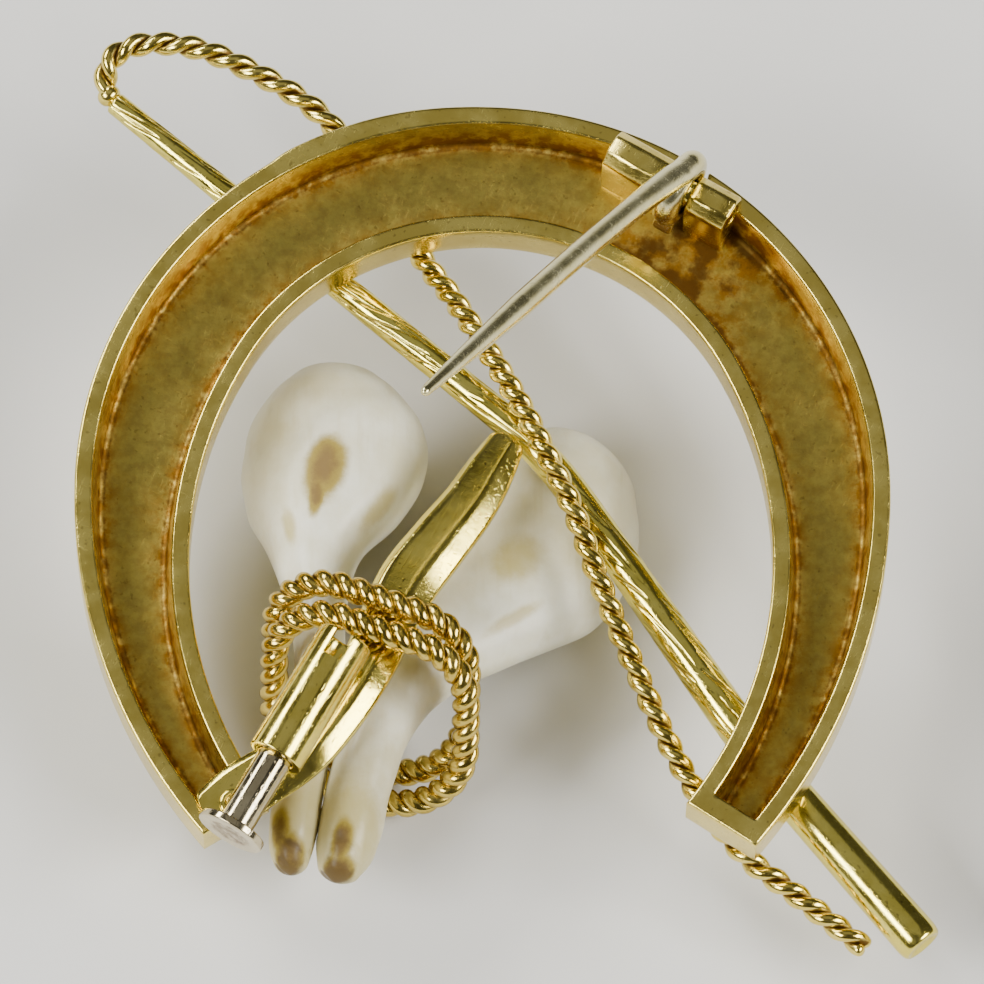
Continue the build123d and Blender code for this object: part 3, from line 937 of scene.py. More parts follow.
    def bar(self, start: float, length: float) -> Array:
        """Hinge bar: a bevelled block round its bore, as a closed ring of loops.

        Args:
            start: Where it starts along the rivet.
            length: Its length.

        Returns:
            Grid of loops.
        """
        half, low = self.bar_width / 2, self.floor / 2
        corners = np.array([[(-half, low), (half, low), (half, self.bar_top - self.bar_bevel),
                             (half - self.bar_bevel, self.bar_top), (-half + self.bar_bevel, self.bar_top),
                             (-half, self.bar_top - self.bar_bevel)]])
        outline = rounded(corners, self.bar_round)[0] - [0, self.hinge_height]
        outline = even_steps(np.vstack([outline, outline[:1]]), 97)[:-1]
        bore = unit(outline) * self.bore
        face = outline * self.bar_end
        loops = [(0, bore), (0, face), (self.bar_soft, outline), (length / 2, outline),
                 (length - self.bar_soft, outline), (length, face), (length, bore)]
        pivot, along, away = self.hinge_frame()
        return np.stack([
            pivot + along * (start + far) + edge[:, :1] * away + edge[:, 1:] * UP for far, edge in loops
        ])

    def build(self) -> None:
        """Make the tray with its bars, and the rivet."""
        shell = Shell("horseshoe_tray")
        rows = self.levels()
        loops = np.stack([self.loop(*row[:3]) for row in rows])
        hollow, warm = (np.array([row[k] for row in rows])[:, None] for k in (3, 4))
        size, seed, high = self.rim_uneven
        loops[..., 2] += ripple(loops, size, seed) * high * (hollow < 0.7) * (loops[..., 2] > 1)
        heat = self.heat(loops)
        warm = np.clip(warm + heat * (warm > 0), 0, 1)
        hollow = hollow + self.stain_hollow[0] * heat * (warm > 0)
        shell.grid(self.notched(self.stepped(loops)), hollow=hollow, warm=warm)
        shell.grid(self.stepped(self.sheet(*rows[0][:3])), around=False)
        bed = self.sheet(*rows[-1][:3])
        width = np.linalg.norm(bed[:, -1] - bed[:, 0], axis=-1)[:, None]
        share = np.linspace(0, 1, self.across)[None]
        off = np.minimum(share, 1 - share) * width
        size, seed, high = self.bed_uneven
        bed[1:-1, 1:-1, 2] += (ripple(bed, size, seed) * high)[1:-1, 1:-1]
        heat = self.heat(bed)
        # along the bed's edges under the walls, painted shade and a painted warm reflection of gold in gold;
        # the heat stain, the bed's even tarnish and its uneven warm tone come on top
        much, fade = self.edge_shade
        hollow = much * np.exp(-off / fade) + self.bed_hollow + self.stain_hollow[1] * heat
        much, fade = self.edge_reflection
        size, seed, share = self.warm_uneven
        warm = much * np.exp(-off / fade) + heat + share * ripple(bed, size, seed)
        shell.grid(bed, around=False, hollow=hollow, satin=1.0, warm=np.clip(warm, 0, 1))
        for start, length in ((-self.cheek - self.left_bar, self.left_bar), (self.cheek, self.right_bar)):
            shell.grid(self.bar(start, length), along=True)
        shell.build(RIM_GOLD, Body.BROOCH, Slot.YELLOW, "horseshoe")
        self.build_rivet()

    def stepped(self, points: Array) -> Array:
        """Points of the outer edge moved out a little past a small step left of the toe's middle.

        The move is a fixed distance times two smooth steps of the turn round the toe.

        Args:
            points: Points of the rim's loops.

        Returns:
            Moved points.
        """
        turn = np.degrees(np.arctan2(points[..., 1], points[..., 0]))
        start, end = self.step_turns
        inside = rise(start - turn, 0.7) * rise(turn - end, 4.0)
        reach = np.linalg.norm(points[..., :2], axis=-1)
        edge = np.clip((reach - self.toe_outer + 0.7) / 0.3, 0, 1)
        moved = points.copy()
        moved[..., :2] += unit(points[..., :2]) * (self.step * inside * edge)[..., None]
        return moved

    def heat(self, points: Array) -> Array:
        """Warm stain round the hinge: a bell of the distance from its middle, made uneven.

        Args:
            points: Points of the tray.

        Returns:
            One value a point.
        """
        middle = self.hinge_frame()[0][:2] + self.stain_off
        far = np.linalg.norm(points[..., :2] - middle, axis=-1)
        uneven = np.clip(0.8 + 0.5 * ripple(points, 1.3, 11), 0, 1.3)
        return self.stain * np.exp(-((far / self.stain_size) ** 2)) * uneven

    def build_rivet(self) -> None:
        """Make the rivet with its ends a little domed."""
        pivot, along, _ = self.hinge_frame()
        start = -self.cheek - self.left_bar + self.rivet_inset
        end = self.cheek + self.right_bar - self.rivet_inset
        profile = [(start + way, self.rivet * share) for way, share in self.rivet_end]
        profile += [(end - way, self.rivet * share) for way, share in self.rivet_end[::-1]]
        shell = Shell("rivet")
        shell.grid(turned_profile(np.array(profile), pivot, along, 48))
        shell.build(STRAP_GOLD, Body.BROOCH, Slot.YELLOW, "hinge_rivet")


@dataclass
class Strap:
    """Curved strap from the whip's knee to the left heel, with the catch's outer tube."""

    start: Array = field(default_factory=lambda: np.array([0.95, 3.2]))
    end: Array = field(default_factory=lambda: np.array([-12.005, -14.4]))
    width: float = 2.5
    thickness: float = 0.9
    height: float = 3.45
    bevel: float = 0.32
    # the right bevel is this many times as broad as the left one
    broad: float = 2.8
    catch_height: float = 4.55
    catch_swing: float = 8.0
    mouth_way: float = 0.571
    mouth_bow: float = 0.046
    tube: float = 1.225
    wall: float = 0.41
    tube_length: float = 6.1
    slot_width: float = 0.8
    slot_length: float = 1.3
    plunger_wall: float = 0.27
    play: float = 0.035
    overlap: float = 1.9
    travel: float = 3.5
    knob: float = 1.5
    knob_thickness: float = 0.35
    along: int = 260
    # size of the small round on the tubes' edges
    soft: float = 0.07
    # the slotted end's lip: distance from the mouth, and how much the wall has shrunk
    lip: Rows = ((0, 0.10), (0.04, 0.03), (0.12, 0), (0.4, 0), (0.7, 0), (1.0, 0))
    boss: tuple[float, float] = (0.95, 0.065)
    # the boss: height over the strap, and radius
    boss_profile: Rows = (
        (-0.2, 0), (-0.2, 0.65), (0.03, 0.65), (0.09, 0.6), (0.10, 0.5), (0.08, 0.38), (0.0, 0.3),
        (-0.1, 0.26), (-0.12, 0.0),
    )
    # where the teeth hang on it
    hang: tuple[float, float] = (0.457, 0.02)
    # way, bow, top, width, thickness
    rows: Rows = (
        (0.0, 0.008, 0.16, 0.62, 0.55), (0.076, 0.020, 0.26, 0.84, 0.9), (0.156, 0.032, 0.36, 0.95, 1.0),
        (0.266, 0.037, 0.49, 1.04, 1.0), (0.368, 0.043, 0.60, 1.07, 1.0), (0.457, 0.062, 0.72, 1.0, 1.0),
        (0.55, 0.090, 0.89, 0.94, 1.0), (0.63, 0.105, 0.99, 0.92, 1.0), (0.70, 0.109, 1.0, 0.92, 0.98),
        (0.766, 0.107, 0.97, 0.92, 0.85), (0.83, 0.091, 0.885, 0.96, 0.53), (0.875, 0.074, 0.865, 1.0, 0.45),
        (0.94, 0.053, 0.845, 1.0, 0.37), (1.0, 0.028, 0.845, 0.7, 0.37),
    )

    def spot(self, way: Any, bow: Any) -> Array:
        """Point in plan at shares of the span along the strap's line and beside it.

        Args:
            way: Share or shares along.
            bow: Share or shares beside.

        Returns:
            Point or points.
        """
        run = self.end - self.start
        beside = np.array([-run[1], run[0]])
        return self.start + np.asarray(way)[..., None] * run + np.asarray(bow)[..., None] * beside

    def mouth(self) -> Array:
        """Middle of the catch's mouth."""
        return np.append(self.spot(self.mouth_way, self.mouth_bow), self.catch_height)

    def catch_ahead(self) -> Array:
        """Turn the strap's direction by the catch's swing.

        Returns:
            Direction of the catch's tubes, from the mouth to the knob.
        """
        run = unit(self.end - self.start)
        a = radians(self.catch_swing)
        return np.array([run[0] * cos(a) - run[1] * sin(a), run[0] * sin(a) + run[1] * cos(a), 0])

    def surface(self) -> Array:
        """Flat bar's bevelled section carried along the strap's rows, read as smooth curves.

        Returns:
            Grid of sections.
        """
        table = np.array(self.rows)
        at = np.linspace(0, 1, self.along)
        bow, top, width, thickness = spline_through(table[:, 0], table[:, 1:], at).T
        path = np.column_stack([self.spot(at, bow), top * self.height])
        half, deep, cut = width * self.width / 2, thickness * self.thickness, width * self.bevel
        sides = np.stack([-half, -half, cut - half, half - self.broad * cut, half, half], 1)
        depths = np.stack([-deep, -deep / 2, 0 * deep, 0 * deep, -deep / 2, -deep], 1)
        corners = np.stack([sides, depths], -1)
        section = rounded(corners, 0.2)
        ahead = direction(path * [1, 1, 0], closed=False)
        side = np.stack([-ahead[:, 1], ahead[:, 0], 0 * at], 1)
        ends = np.clip(np.minimum(at, 1 - at) / 0.012, 0, 1)[:, None, None]
        section = section * (0.55 + 0.45 * dome(ends))
        return path[:, None] + section[..., :1] * side[:, None] + section[..., 1:] * UP

    def lathe(self, profile: Array, count: int = 96) -> Array:
        """Lathe shape on the catch's line."""
        return turned_profile(profile, self.mouth(), self.catch_ahead(), count)

    def slotted_end(self) -> Array:
        """Tube's slotted end: a C-shaped section, from slot edge round to slot edge and back inside.

        Returns:
            Grid of sections from the mouth to the slot's end.
        """
        ahead = self.catch_ahead()
        side = np.cross(UP, ahead)
        outer, inner = self.tube, self.tube - self.wall
        loops = []
        for far, less in (*self.lip, (self.slot_length, 0)):
            lips = [asin(self.slot_width / 2 / radius) for radius in (outer - less, inner + less)]
            turns = [np.linspace(lip, 2 * np.pi - lip, 72) for lip in lips]
            rims = [(outer - less, turns[0]), (inner + less, turns[1][::-1])]
            loops.append(np.vstack([
                radius * (np.cos(turn)[:, None] * UP + np.sin(turn)[:, None] * side) for radius, turn in rims
            ]) + ahead * far)
        return np.stack(loops) + self.mouth()

    def build(self) -> None:
        """Make the strap with its tube and boss, and the sliding tube with its knob."""
        shell = Shell("strap_and_tube")
        bar = self.surface()
        shell.grid(bar, hollow=0.75 * np.exp(-np.linspace(0, 1, len(bar)) / 0.03)[:, None])
        shell.cap(bar[0], bar[-1])
        lip = self.slotted_end()
        shell.grid(lip)
        for end in (lip[0], lip[-1]):
            half = len(end) // 2
            shell.grid(np.stack([end[:half], end[half:][::-1]]), around=False)
        r, inside, s, e = self.tube, self.tube - self.wall, self.slot_length, self.tube_length
        line = soft_edges([(s, r), (e, r), (e, inside), (s, inside)], self.soft)
        shell.grid(self.lathe(np.vstack([line, line[:1]])))
        spot = np.append(self.spot(*self.boss), self.rows[-1][2] * self.height)
        boss = np.array(self.boss_profile)
        hole = np.clip(1 - boss[:, 1] / 0.36, 0, 1)[:, None] * 2
        shell.grid(turned_profile(boss, spot, UP, 48), hollow=hole)
        shell.build(STRAP_GOLD, Body.BROOCH, Slot.YELLOW, "catch_bridge")
        self.build_plunger()

    def build_plunger(self) -> None:
        """Make the inner tube, pulled out, with its flat knob."""
        r = self.tube - self.wall - self.play
        start = self.tube_length - self.overlap
        knob = self.tube_length + self.travel + self.play
        end, bore = knob + self.knob_thickness, r - self.plunger_wall
        turned = [(knob - 0.02, 0), (knob - 0.02, bore), (start, bore), (start, r), (knob, r),
                  (knob, self.knob), (end, self.knob), (end - 0.02, self.knob * 0.5), (end - 0.03, 0)]
        shell = Shell("catch_plunger_and_knob")
        line = soft_edges(turned, self.soft)
        # the knob's outer face is darkened through its hollow mark: painted shade
        face = np.where((line[:, 0] > end - 0.05) & (line[:, 1] < self.knob - 0.1), 0.75, 0.0)
        shell.grid(self.lathe(line), hollow=face[:, None])
        shell.build(PLUNGER_GOLD, Body.CATCH, Slot.GREY, "catch_plunger")


@dataclass(frozen=True)
class Strokes:
    """One set of engraved strokes that run slantwise round the whip."""

    count: int
    slant: float
    start: float
    waver: float
    waver_size: float
    sharpness: int
    bias: float
    patchy: float
    patch_size: float
    seed: int

    def depth(self, turn: Array, far: Array, place: Array) -> Array:
        """High power of a cosine of the slanted turn, let in only where a slow unevenness is high.

        Args:
            turn: Angle round the whip.
            far: Distance along it.
            place: Points that the unevenness is read at.

        Returns:
            Share of the full depth at each point.
        """
        waver = self.waver * ripple(place, self.waver_size, self.seed)
        phase = self.count * (turn + self.slant * far) + self.start + waver
        patches = self.bias + self.patchy * ripple(place, self.patch_size, self.seed + 1)
        return np.clip(np.cos(phase), 0, 1) ** self.sharpness * np.clip(patches, 0, 1)


@dataclass
class Whip:
    """Riding whip: engraved tapering stock with a smooth handle and a dished butt."""

    corners: Array = field(default_factory=lambda: np.array([(-16.4, 18.45), (2.65, 2.85), (12.0, -10.6),
                                                             (19.15, -18.85)]))
    bends: tuple[float, float] = (20.0, 60.0)
    diameter: float = 2.0
    gap: float = 0.04
    smooth_from: float = 0.80
    groove_depth: float = 0.065
    # shares of the length over which tip and butt are rounded, and the size of the butt's face
    tip_round: float = 0.004
    butt_round: float = 0.012
    butt_face: float = 0.84
    # the butt's dish: share of the way to its middle, how far sunk, and how strongly its hollow mark darkens
    # it
    dish: Rows = (
        (0, 0, 0), (0.12, 0, 0), (0.3, 0.10, 0.25), (0.6, 0.16, 0.3), (1, 0.18, 0.2)
    )
    along: int = 620
    around: int = 132
    strokes: tuple[Strokes, ...] = (
        Strokes(9, 0.42, 0, 1.1, 2.5, 4, 0.4, 1.1, 1.2, 21),
        Strokes(7, 0.16, 2, 1.5, 3.0, 8, 0.3, 1.0, 2.2, 23),
    )
    # way, girth
    rows: Rows = (
        (0.0, 0.50), (0.15, 0.59), (0.3, 0.65), (0.44, 0.69), (0.47, 0.70), (0.5, 0.72), (0.7, 0.85),
        (0.88, 0.94), (1.0, 1.0),
    )

    def build(self) -> None:
        """Make the whip: a circle along the stock, cut by long slanting strokes."""
        line = even_steps(filleted(self.corners, list(self.bends), closed=False), self.along)
        at = np.linspace(0, 1, len(line))
        table = np.array(self.rows)
        radius = np.interp(at, *table.T) * self.diameter / 2
        path = np.column_stack([line, -radius - self.gap])
        circle = ring(self.around)
        turn = np.linspace(0, 2 * np.pi, self.around, endpoint=False)[None]
        far = at[:, None] * np.linalg.norm(np.diff(line, axis=0), axis=1).sum()
        place = np.stack(np.broadcast_arrays(np.cos(turn) * 1.2, np.sin(turn) * 1.2, far / 1.6), -1)
        stroke = sum(strokes.depth(turn, far, place) for strokes in self.strokes)
        smooth = rise(self.smooth_from - at, 0.006)[:, None]
        tip = np.clip(at / self.tip_round, 0, 1)[:, None]
        butt = np.clip((1 - at) / self.butt_round, 0, 1)[:, None]
        shrink = dome(tip) * (self.butt_face + (1 - self.butt_face) * dome(butt))
        reach = (radius[:, None] - self.groove_depth * stroke * smooth) * shrink
        shell = Shell("whip_stock")
        stock = carried(path, UP, circle[None] * reach[..., None])
        shell.grid(stock, hollow=np.clip(stroke, 0, 1) * smooth)
        end, ahead = stock[-1], unit(path[-1] - path[-2])
        dish = [end + (end.mean(0) - end) * share - ahead * sunk for share, sunk, _ in self.dish]
        shell.grid(np.stack(dish), hollow=np.array(self.dish)[:, 2:])
        shell.build(WHIP_GOLD, Body.BROOCH, Slot.YELLOW, "whip")


@dataclass
class Rope:
    """Two round strands wound round a line."""

    name: str
    radius: float
    twist: Twist
    strands: int = 2
    # a strand's distance from the rope's middle and its own radius, as shares of the rope's radius
    strand_off: float = 0.46
    strand_radius: float = 0.56
    # points round a strand
    fine: int = 16

    def strand_grids(self, path: Array, across: Array, pitch: Array, closed: bool) -> list[Array]:
        """Strands as tubes round helices: path plus nearly half the radius at a rising turn.

        Args:
            path: Rope's line at even steps.
            across: Direction that the first strand starts from.
            pitch: Length of a full turn at each point.
            closed: Whether the rope is a loop.

        Returns:
            One grid for each strand.
        """
        ahead = direction(path, closed)
        runs = np.linalg.norm(np.roll(path, -1, 0) - path, axis=1)
        side = unit(across - (ahead @ across)[:, None] * ahead)
        cross = np.cross(ahead, side)
        turns = np.concatenate([[0], np.cumsum(runs / pitch)[:-1]])
        if closed:
            total = float((runs / pitch).sum())
            turns = turns * (round(total) / total)
        grids = []
        for number in range(self.strands):
            turn = (2 * np.pi * (self.twist.value * turns + number / self.strands))[:, None]
            out = np.cos(turn) * side + np.sin(turn) * cross
            centre = path + self.strand_off * self.radius * out
            along = direction(centre, closed)
            outward = unit(out - (out * along).sum(1, keepdims=True) * along)
            beside = np.cross(along, outward)
            circle = ring(self.fine) * self.strand_radius * self.radius
            grids.append(centre[:, None] + circle[None, :, :1] * outward[:, None]
                         + circle[None, :, 1:] * beside[:, None])
        return grids

    def hollow(self, count: int) -> Array:
        """How far each point of a strand's section faces the rope's middle, 0 outside to 1 inside; it
        carries painted shade between the strands.
        """
        return np.broadcast_to((1 - ring(self.fine)[:, 0]) / 2, (count, self.fine))


@dataclass
class Lash:
    """Rope from the whip's tip, round a loop and along the whip to its butt."""

    along: int = 900
    rope: Rope = field(default_factory=lambda: Rope("lash_rope", 0.525, Twist.LEFT))
    route: Rows = (
        (-16.7, 18.9, -0.4), (-16.8, 19.85, 0.0), (-15.95, 20.65, 0.2), (-14.6, 20.9, 0.3),
        (-12.5, 20.7, 0.2), (-9.9, 19.55, 0.0), (-8.15, 18.6, -0.25), (-6.6, 17.4, -0.6),
        (-2.7, 11.25, -0.6), (-1.6, 9.9, -0.4), (0.0, 7.3, 0.1), (1.65, 4.45, 0.55),
        (3.05, 1.65, 0.65), (3.95, -0.15, 0.5), (5.2, -3.6, 0.1), (6.9, -7.5, -0.3),
        (8.7, -11.4, -0.6), (11.3, -15.1, -0.7), (13.4, -16.5, -0.9), (15.1, -17.75, -1.2),
        (16.6, -18.8, -1.5),
    )
    # rounds of a strand's end: size, and how far out
    rounds: Rows = ((1, 0), (0.8, 0.10), (0.45, 0.16), (0, 0.18))
    # the collar at the whip's tip: place, direction, half length and radius
    collar: tuple[float, float, float] = (-16.55, 18.66, -0.45)
    collar_ahead: tuple[float, float, float] = (0.6, -0.75, 0.0)
    collar_half: float = 0.42
    collar_radius: float = 0.52
    # share of the way, length of a full turn of the strands
    pitches: Rows = (
        (0, 2.3), (0.2, 2.4), (0.3, 1.9), (0.5, 1.8), (0.6, 2.1), (1, 2.2)
    )

    def line(self) -> Array:
        """The route's smooth line, read from a NURBS curve with the same points.

        Returns:
            Points, n by 3.
        """
        curve = bpy.data.curves.new("lash_line", "CURVE")
        curve.dimensions = "3D"
        curve.resolution_u = 24
        spline = curve.splines.new("NURBS")
        spline.points.add(len(self.route) - 1)
        spline.points.foreach_set("co", np.column_stack([self.route, np.ones(len(self.route))]).ravel())
        spline.order_u = 3
        spline.use_endpoint_u = True
        holder = bpy.data.objects.new("lash_line", curve)
        mesh = bpy.data.meshes.new_from_object(holder)
        points = np.zeros(len(mesh.vertices) * 3)
        mesh.vertices.foreach_get("co", points)
        bpy.data.objects.remove(holder)
        bpy.data.curves.remove(curve)
        bpy.data.meshes.remove(mesh)
        return points.reshape(-1, 3)

    def build(self) -> None:
        """Make both strands, with the small collar at the whip's tip."""
        path = even_steps(self.line(), self.along)
        pitch = np.interp(np.linspace(0, 1, len(path)), *np.array(self.pitches).T)
        shell = Shell(self.rope.name)
        for strand in self.rope.strand_grids(path, UP, pitch, closed=False):
            shell.grid(strand, hollow=self.rope.hollow(len(strand)))
            for end, step in ((strand[0], strand[0] - strand[1]), (strand[-1], strand[-1] - strand[-2])):
                middle = end.mean(0)
                ahead = unit(step.mean(0))
                shell.grid(np.stack([
                    middle + (end - middle) * size + ahead * out for size, out in self.rounds
                ]))
        turn = np.linspace(0, np.pi, 15)
        bead = np.stack([-self.collar_half * np.cos(turn), self.collar_radius * np.sin(turn) ** 0.8], 1)
        bead[:, 1] = np.maximum(bead[:, 1], 0)
        shell.grid(turned_profile(bead, np.array(self.collar), unit(np.array(self.collar_ahead)), 40))
        shell.build(ROPE_GOLD, Body.BROOCH, Slot.ROPE, "lash")


@dataclass
class Binding:
    """One closed rope turn round the strap and both tooth necks."""

    name: str
    node: str
    shift: float
    strap: Strap
    rope_radius: float = 0.6
    pitch: float = 1.65
    width: float = 8.7
    depth: float = 8.9
    lift: float = 0.75
    heading: float = -18.7
    lean: float = 52.2
    back_radius: float = 2.6
    front_radius: float = 3.6
    along: int = 520
    # how many times the loop's points are averaged with their neighbours
    eased: int = 24

    def build(self) -> None:
        """Make the turn: a rope along a rounded rectangle in a leaning plane."""
        across = level(self.heading)
        down = np.array([0, -cos(radians(self.lean)), -sin(radians(self.lean))])
        centre = self.strap.spot(*self.strap.hang) - [0, self.shift]
        run = self.strap.end - self.strap.start
        way = (centre - self.strap.start) @ run / (run @ run)
        table = np.array(self.strap.rows)
        back = np.append(centre, np.interp(way, table[:, 0], table[:, 2]) * self.strap.height + self.lift)
        half = self.width / 2
        corners = np.array([back + across * x + down * y for x, y in
                            ((-half, 0), (half, 0), (half, self.depth), (-half, self.depth))])
        radii = [self.back_radius] * 2 + [self.front_radius] * 2
        path = even_steps(filleted(corners, radii, closed=True, fine=40), self.along + 1)[:-1]
        for _ in range(self.eased):
            path = (path + np.roll(path, 1, 0) + np.roll(path, -1, 0)) / 3
        rope = Rope(self.name, self.rope_radius, Twist.RIGHT)
        pitch = np.full(len(path), self.pitch)
        shell = Shell(self.name)
        normal = unit(np.cross(across, down))
        for strand in rope.strand_grids(path, normal, pitch, closed=True):
            shell.grid(strand, along=True, hollow=rope.hollow(len(strand)))
        shell.build(SHADED_BINDING_GOLD, Body.BROOCH, Slot.ROPE, self.node)


@dataclass
class Pin:
    """Pin turned up to its open angle: eye round the rivet, long stem, point and spur."""

    shoe: Horseshoe
    strap: Strap
    radius: float = 0.53
    shoulder: float = 4.0
    shoulder_radius: float = 0.58
    taper: float = 9.6
    point: float = 0.21
    reach: float = 0.6
    eye: float = 1.2
    ring_radius: float = 0.58
    spur_reach: float = 2.25
    spur_width: float = 0.9
    spur_thickness: float = 0.5
    # how far inside the eye's line the spur starts, and its lower end: way up from there, and size
    spur_inset: float = 0.2
    spur_end: Rows = ((0, 0.75), (0.05, 0.93), (0.14, 1.0))
    open_angle: float = 40.5
    bow: float = 0.22
    # the stem's flattening: how much, its place and half its length
    flat: tuple[float, float, float] = (0.06, 2.5, 2.0)
    # length over which the point closes
    closing: float = 0.3
    # distance before the point and radius, where the stem tapers
    slender: Rows = ((4.0, 0.38), (1.2, 0.27))

    def opened(self, points: Array) -> Array:
        """Turn points about the rivet from flat to the open angle.

        Args:
            points: Points of the flat pin.

        Returns:
            Turned points.
        """
        pivot, axis, _ = self.shoe.hinge_frame()
        a = radians(-self.open_angle)
        x, y, z = axis
        cross = np.array([[0, -z, y], [z, 0, -x], [-y, x, 0]])
        turn = np.eye(3) + sin(a) * cross + (1 - cos(a)) * cross @ cross
        return (points - pivot) @ turn.T + pivot

    def build(self) -> None:
        """Make the pin: ring, stem whose radius falls to its point, and flat spur."""
        pivot, axis, away = self.shoe.hinge_frame()
        run = self.strap.mouth()[:2] - pivot[:2]
        length = hypot(*run) + self.reach
        ahead = np.append(unit(run), 0)
        side = np.cross(UP, ahead)
        shell = Shell("pin_wire")
        circle = ring(40)
        loop = ring(96)
        eye = pivot + self.eye * (loop[:, :1] * away + loop[:, 1:] * UP)
        shell.grid(carried(eye, axis, circle[None] * self.ring_radius, closed=True), along=True)
        last = 1 - np.sin(np.linspace(0.1, np.pi / 2, 12))
        far = np.append(np.linspace(0, length - self.closing, 300), length - self.closing * last)
        stem = [(0, self.shoulder_radius), (self.shoulder, self.radius), (length - self.taper, self.radius)]
        stem += [(length - before, radius) for before, radius in (*self.slender, (0, self.point))]
        thick = np.interp(far, *np.array(stem).T) * dome(np.clip((length - far) / self.closing, 0, 1))
        bend = self.bow * np.sin(np.pi * np.clip((far - 1.0) / (length - 1.0), 0, 1) ** 0.6)
        path = pivot + UP * self.eye + far[:, None] * ahead - bend[:, None] * side
        much, middle, spread = self.flat
        flat = 1 + much * np.exp(-((far - middle) / spread) ** 2)[:, None]
        section = circle[None] * thick[:, None, None] * np.stack([flat, 2 - flat], -1)
        wire = carried(path, side, section)
        shell.grid(wire)
        shell.cap(wire[0])
        half, thin = self.spur_width / 2, self.spur_thickness / 2
        outline = rounded(np.array([[(-half, -thin), (half, -thin), (half, thin), (-half, thin)]]), 0.2)
        rows = [(self.spur_reach - raised, size) for raised, size in self.spur_end]
        drop, size = np.array([*rows, (self.eye - self.spur_inset, 1.0)]).T
        size = size[:, None, None]
        spine = pivot - drop[:, None] * UP
        spur = spine[:, None] + outline[..., :1] * size * axis + outline[..., 1:] * size * away
        shell.grid(spur)
        shell.cap(spur[0], spur[-1])
        shell.points = [self.opened(points) for points in shell.points]
        shell.build(PIN_GOLD, Body.PIN, Slot.PALE, "pin_stem")


@dataclass
class Tooth:
    """Deer tooth: ellipses through a table of rows, from root end to crown, a little uneven."""

    name: str
    node: str
    strap: Strap
    length: float
    width: float
    depth: float
    side: float
    back: float
    heading: float
    seed: int
    # way, side, sink, half width, half depth, turn
    rows: Rows
    # way and angle round of brown stains, with their half sizes in mm
    stains: Rows = ()
    # the same for straw-coloured patches
    patches: Rows = ()
    # where the crown starts, and over what share of the length
    crown: tuple[float, float] = (0.6, 0.04)
    # shares of the length over which root and crown close
    closing: tuple[float, float] = (0.02, 0.012)
    # lumps of the crown and all over: wave length and height
    lumps: tuple[float, float] = (6.0, 0.06)
    small_lumps: tuple[float, float] = (2.2, 0.03)
    flute: float = 0.03
    # pits of the root: wave length, depth, and share of the length over which they fade
    pits: tuple[float, float, float] = (0.9, 0.25, 0.05)
    # how far the straw tone reaches up from the root, and how strong it is there
    straw: tuple[float, float] = (0.42, 0.6)
    along: int = 190
    around: int = 120

    def stations(self) -> Array:
        """Places along the tooth, closer together at both ends.

        Returns:
            Shares of the tooth's length, rising.
        """
        table = np.array(self.rows)
        t = np.linspace(0, np.pi, self.along)
        return table[-1, 0] * (1 - np.cos(t)) / 2

    def blot(self, spots: Rows, at: Array, turn: Array, girth: Array) -> Array:
        """Soft ovals on the surface, each a bell of the distance along and round from its middle.

        Args:
            spots: Way, angle round, and half sizes along and round of each oval.
            at: Places along the tooth.
            turn: Angles round it.
            girth: Mean radius at each place.

        Returns:
            One value a point, from 0 to 1.
        """
        value = np.zeros((len(at), turn.size))
        for way, angle, long, wide in spots:
            along = (at[:, None] - way) * self.length / long
            swing = np.angle(np.exp(1j * (turn[None] - radians(angle))))
            around = swing * girth[:, None] / wide
            value = np.maximum(value, np.exp(-0.7 * (along**2 + around**2) ** 1.3))
        return value

    def build(self) -> None:
        """Make the tooth's surface and mark its stains, patches and root end."""
        table = np.array(self.rows)
        at = self.stations()
        beside, sink, half_width, half_depth, swing = spline_through(table[:, 0], table[:, 1:], at).T
        root = self.strap.spot(*self.strap.hang) + [self.side, self.back]
        spine = (np.append(root, 0) + (at * self.length)[:, None] * level(self.heading)
                 + (beside * self.width)[:, None] * level(self.heading - 90)
                 - (sink * self.depth)[:, None] * UP)
        turn = np.linspace(0, 2 * np.pi, self.around, endpoint=False)
        a, b = half_width * self.width, half_depth * self.depth
        root_end, crown_end = self.closing
        close = dome(np.clip(np.minimum(at / root_end, (table[-1, 0] - at) / crown_end), 0, 1))
        facing = np.radians(self.heading + swing)
        local = np.stack([np.sin(facing), -np.cos(facing), 0 * facing], 1)
        circle = ring(self.around)
        grid = (spine[:, None] + circle[None, :, :1] * (a * close)[:, None, None] * local[:, None]
                + circle[None, :, 1:] * (b * close)[:, None, None] * UP)
        crown = rise(at - self.crown[0], self.crown[1])[:, None]
        (size, high), (small, low), (fine, deep, fade) = self.lumps, self.small_lumps, self.pits
        lumps = high * ripple(grid, size, self.seed) * crown + low * ripple(grid, small, self.seed + 1)
        flute = np.cos(3 * turn + 1.2)[None] * self.flute * (1 - crown)
        outward = unit(grid - spine[:, None])
        pits = np.clip(ripple(grid, fine, self.seed + 2) - 0.35, 0, 1) * np.exp(-at / fade)[:, None]
        grid = grid + outward * ((lumps + flute - deep * pits) * close[:, None])[..., None]
        shell = Shell(self.name)
        girth = (a + b) / 2
        stain, straw = (self.blot(spots, at, turn, girth) for spots in (self.stains, self.patches))
        reach, strength = self.straw
        straw = straw + strength * np.exp(-((at / reach) ** 2))[:, None]
        end = 0.75 * np.exp(-at / 0.02)[:, None] + 0.8 * np.clip(pits * 2.5, 0, 1)
        end = end * 0.7 + 0.52 * stain * (at < 0.2)[:, None]
        shell.grid(grid, brown=stain, straw=np.clip(straw, 0, 1), root=np.clip(end, 0, 1))
        shell.build(ToothFinish(), Body.BROOCH, Slot.TOOTH, self.node)


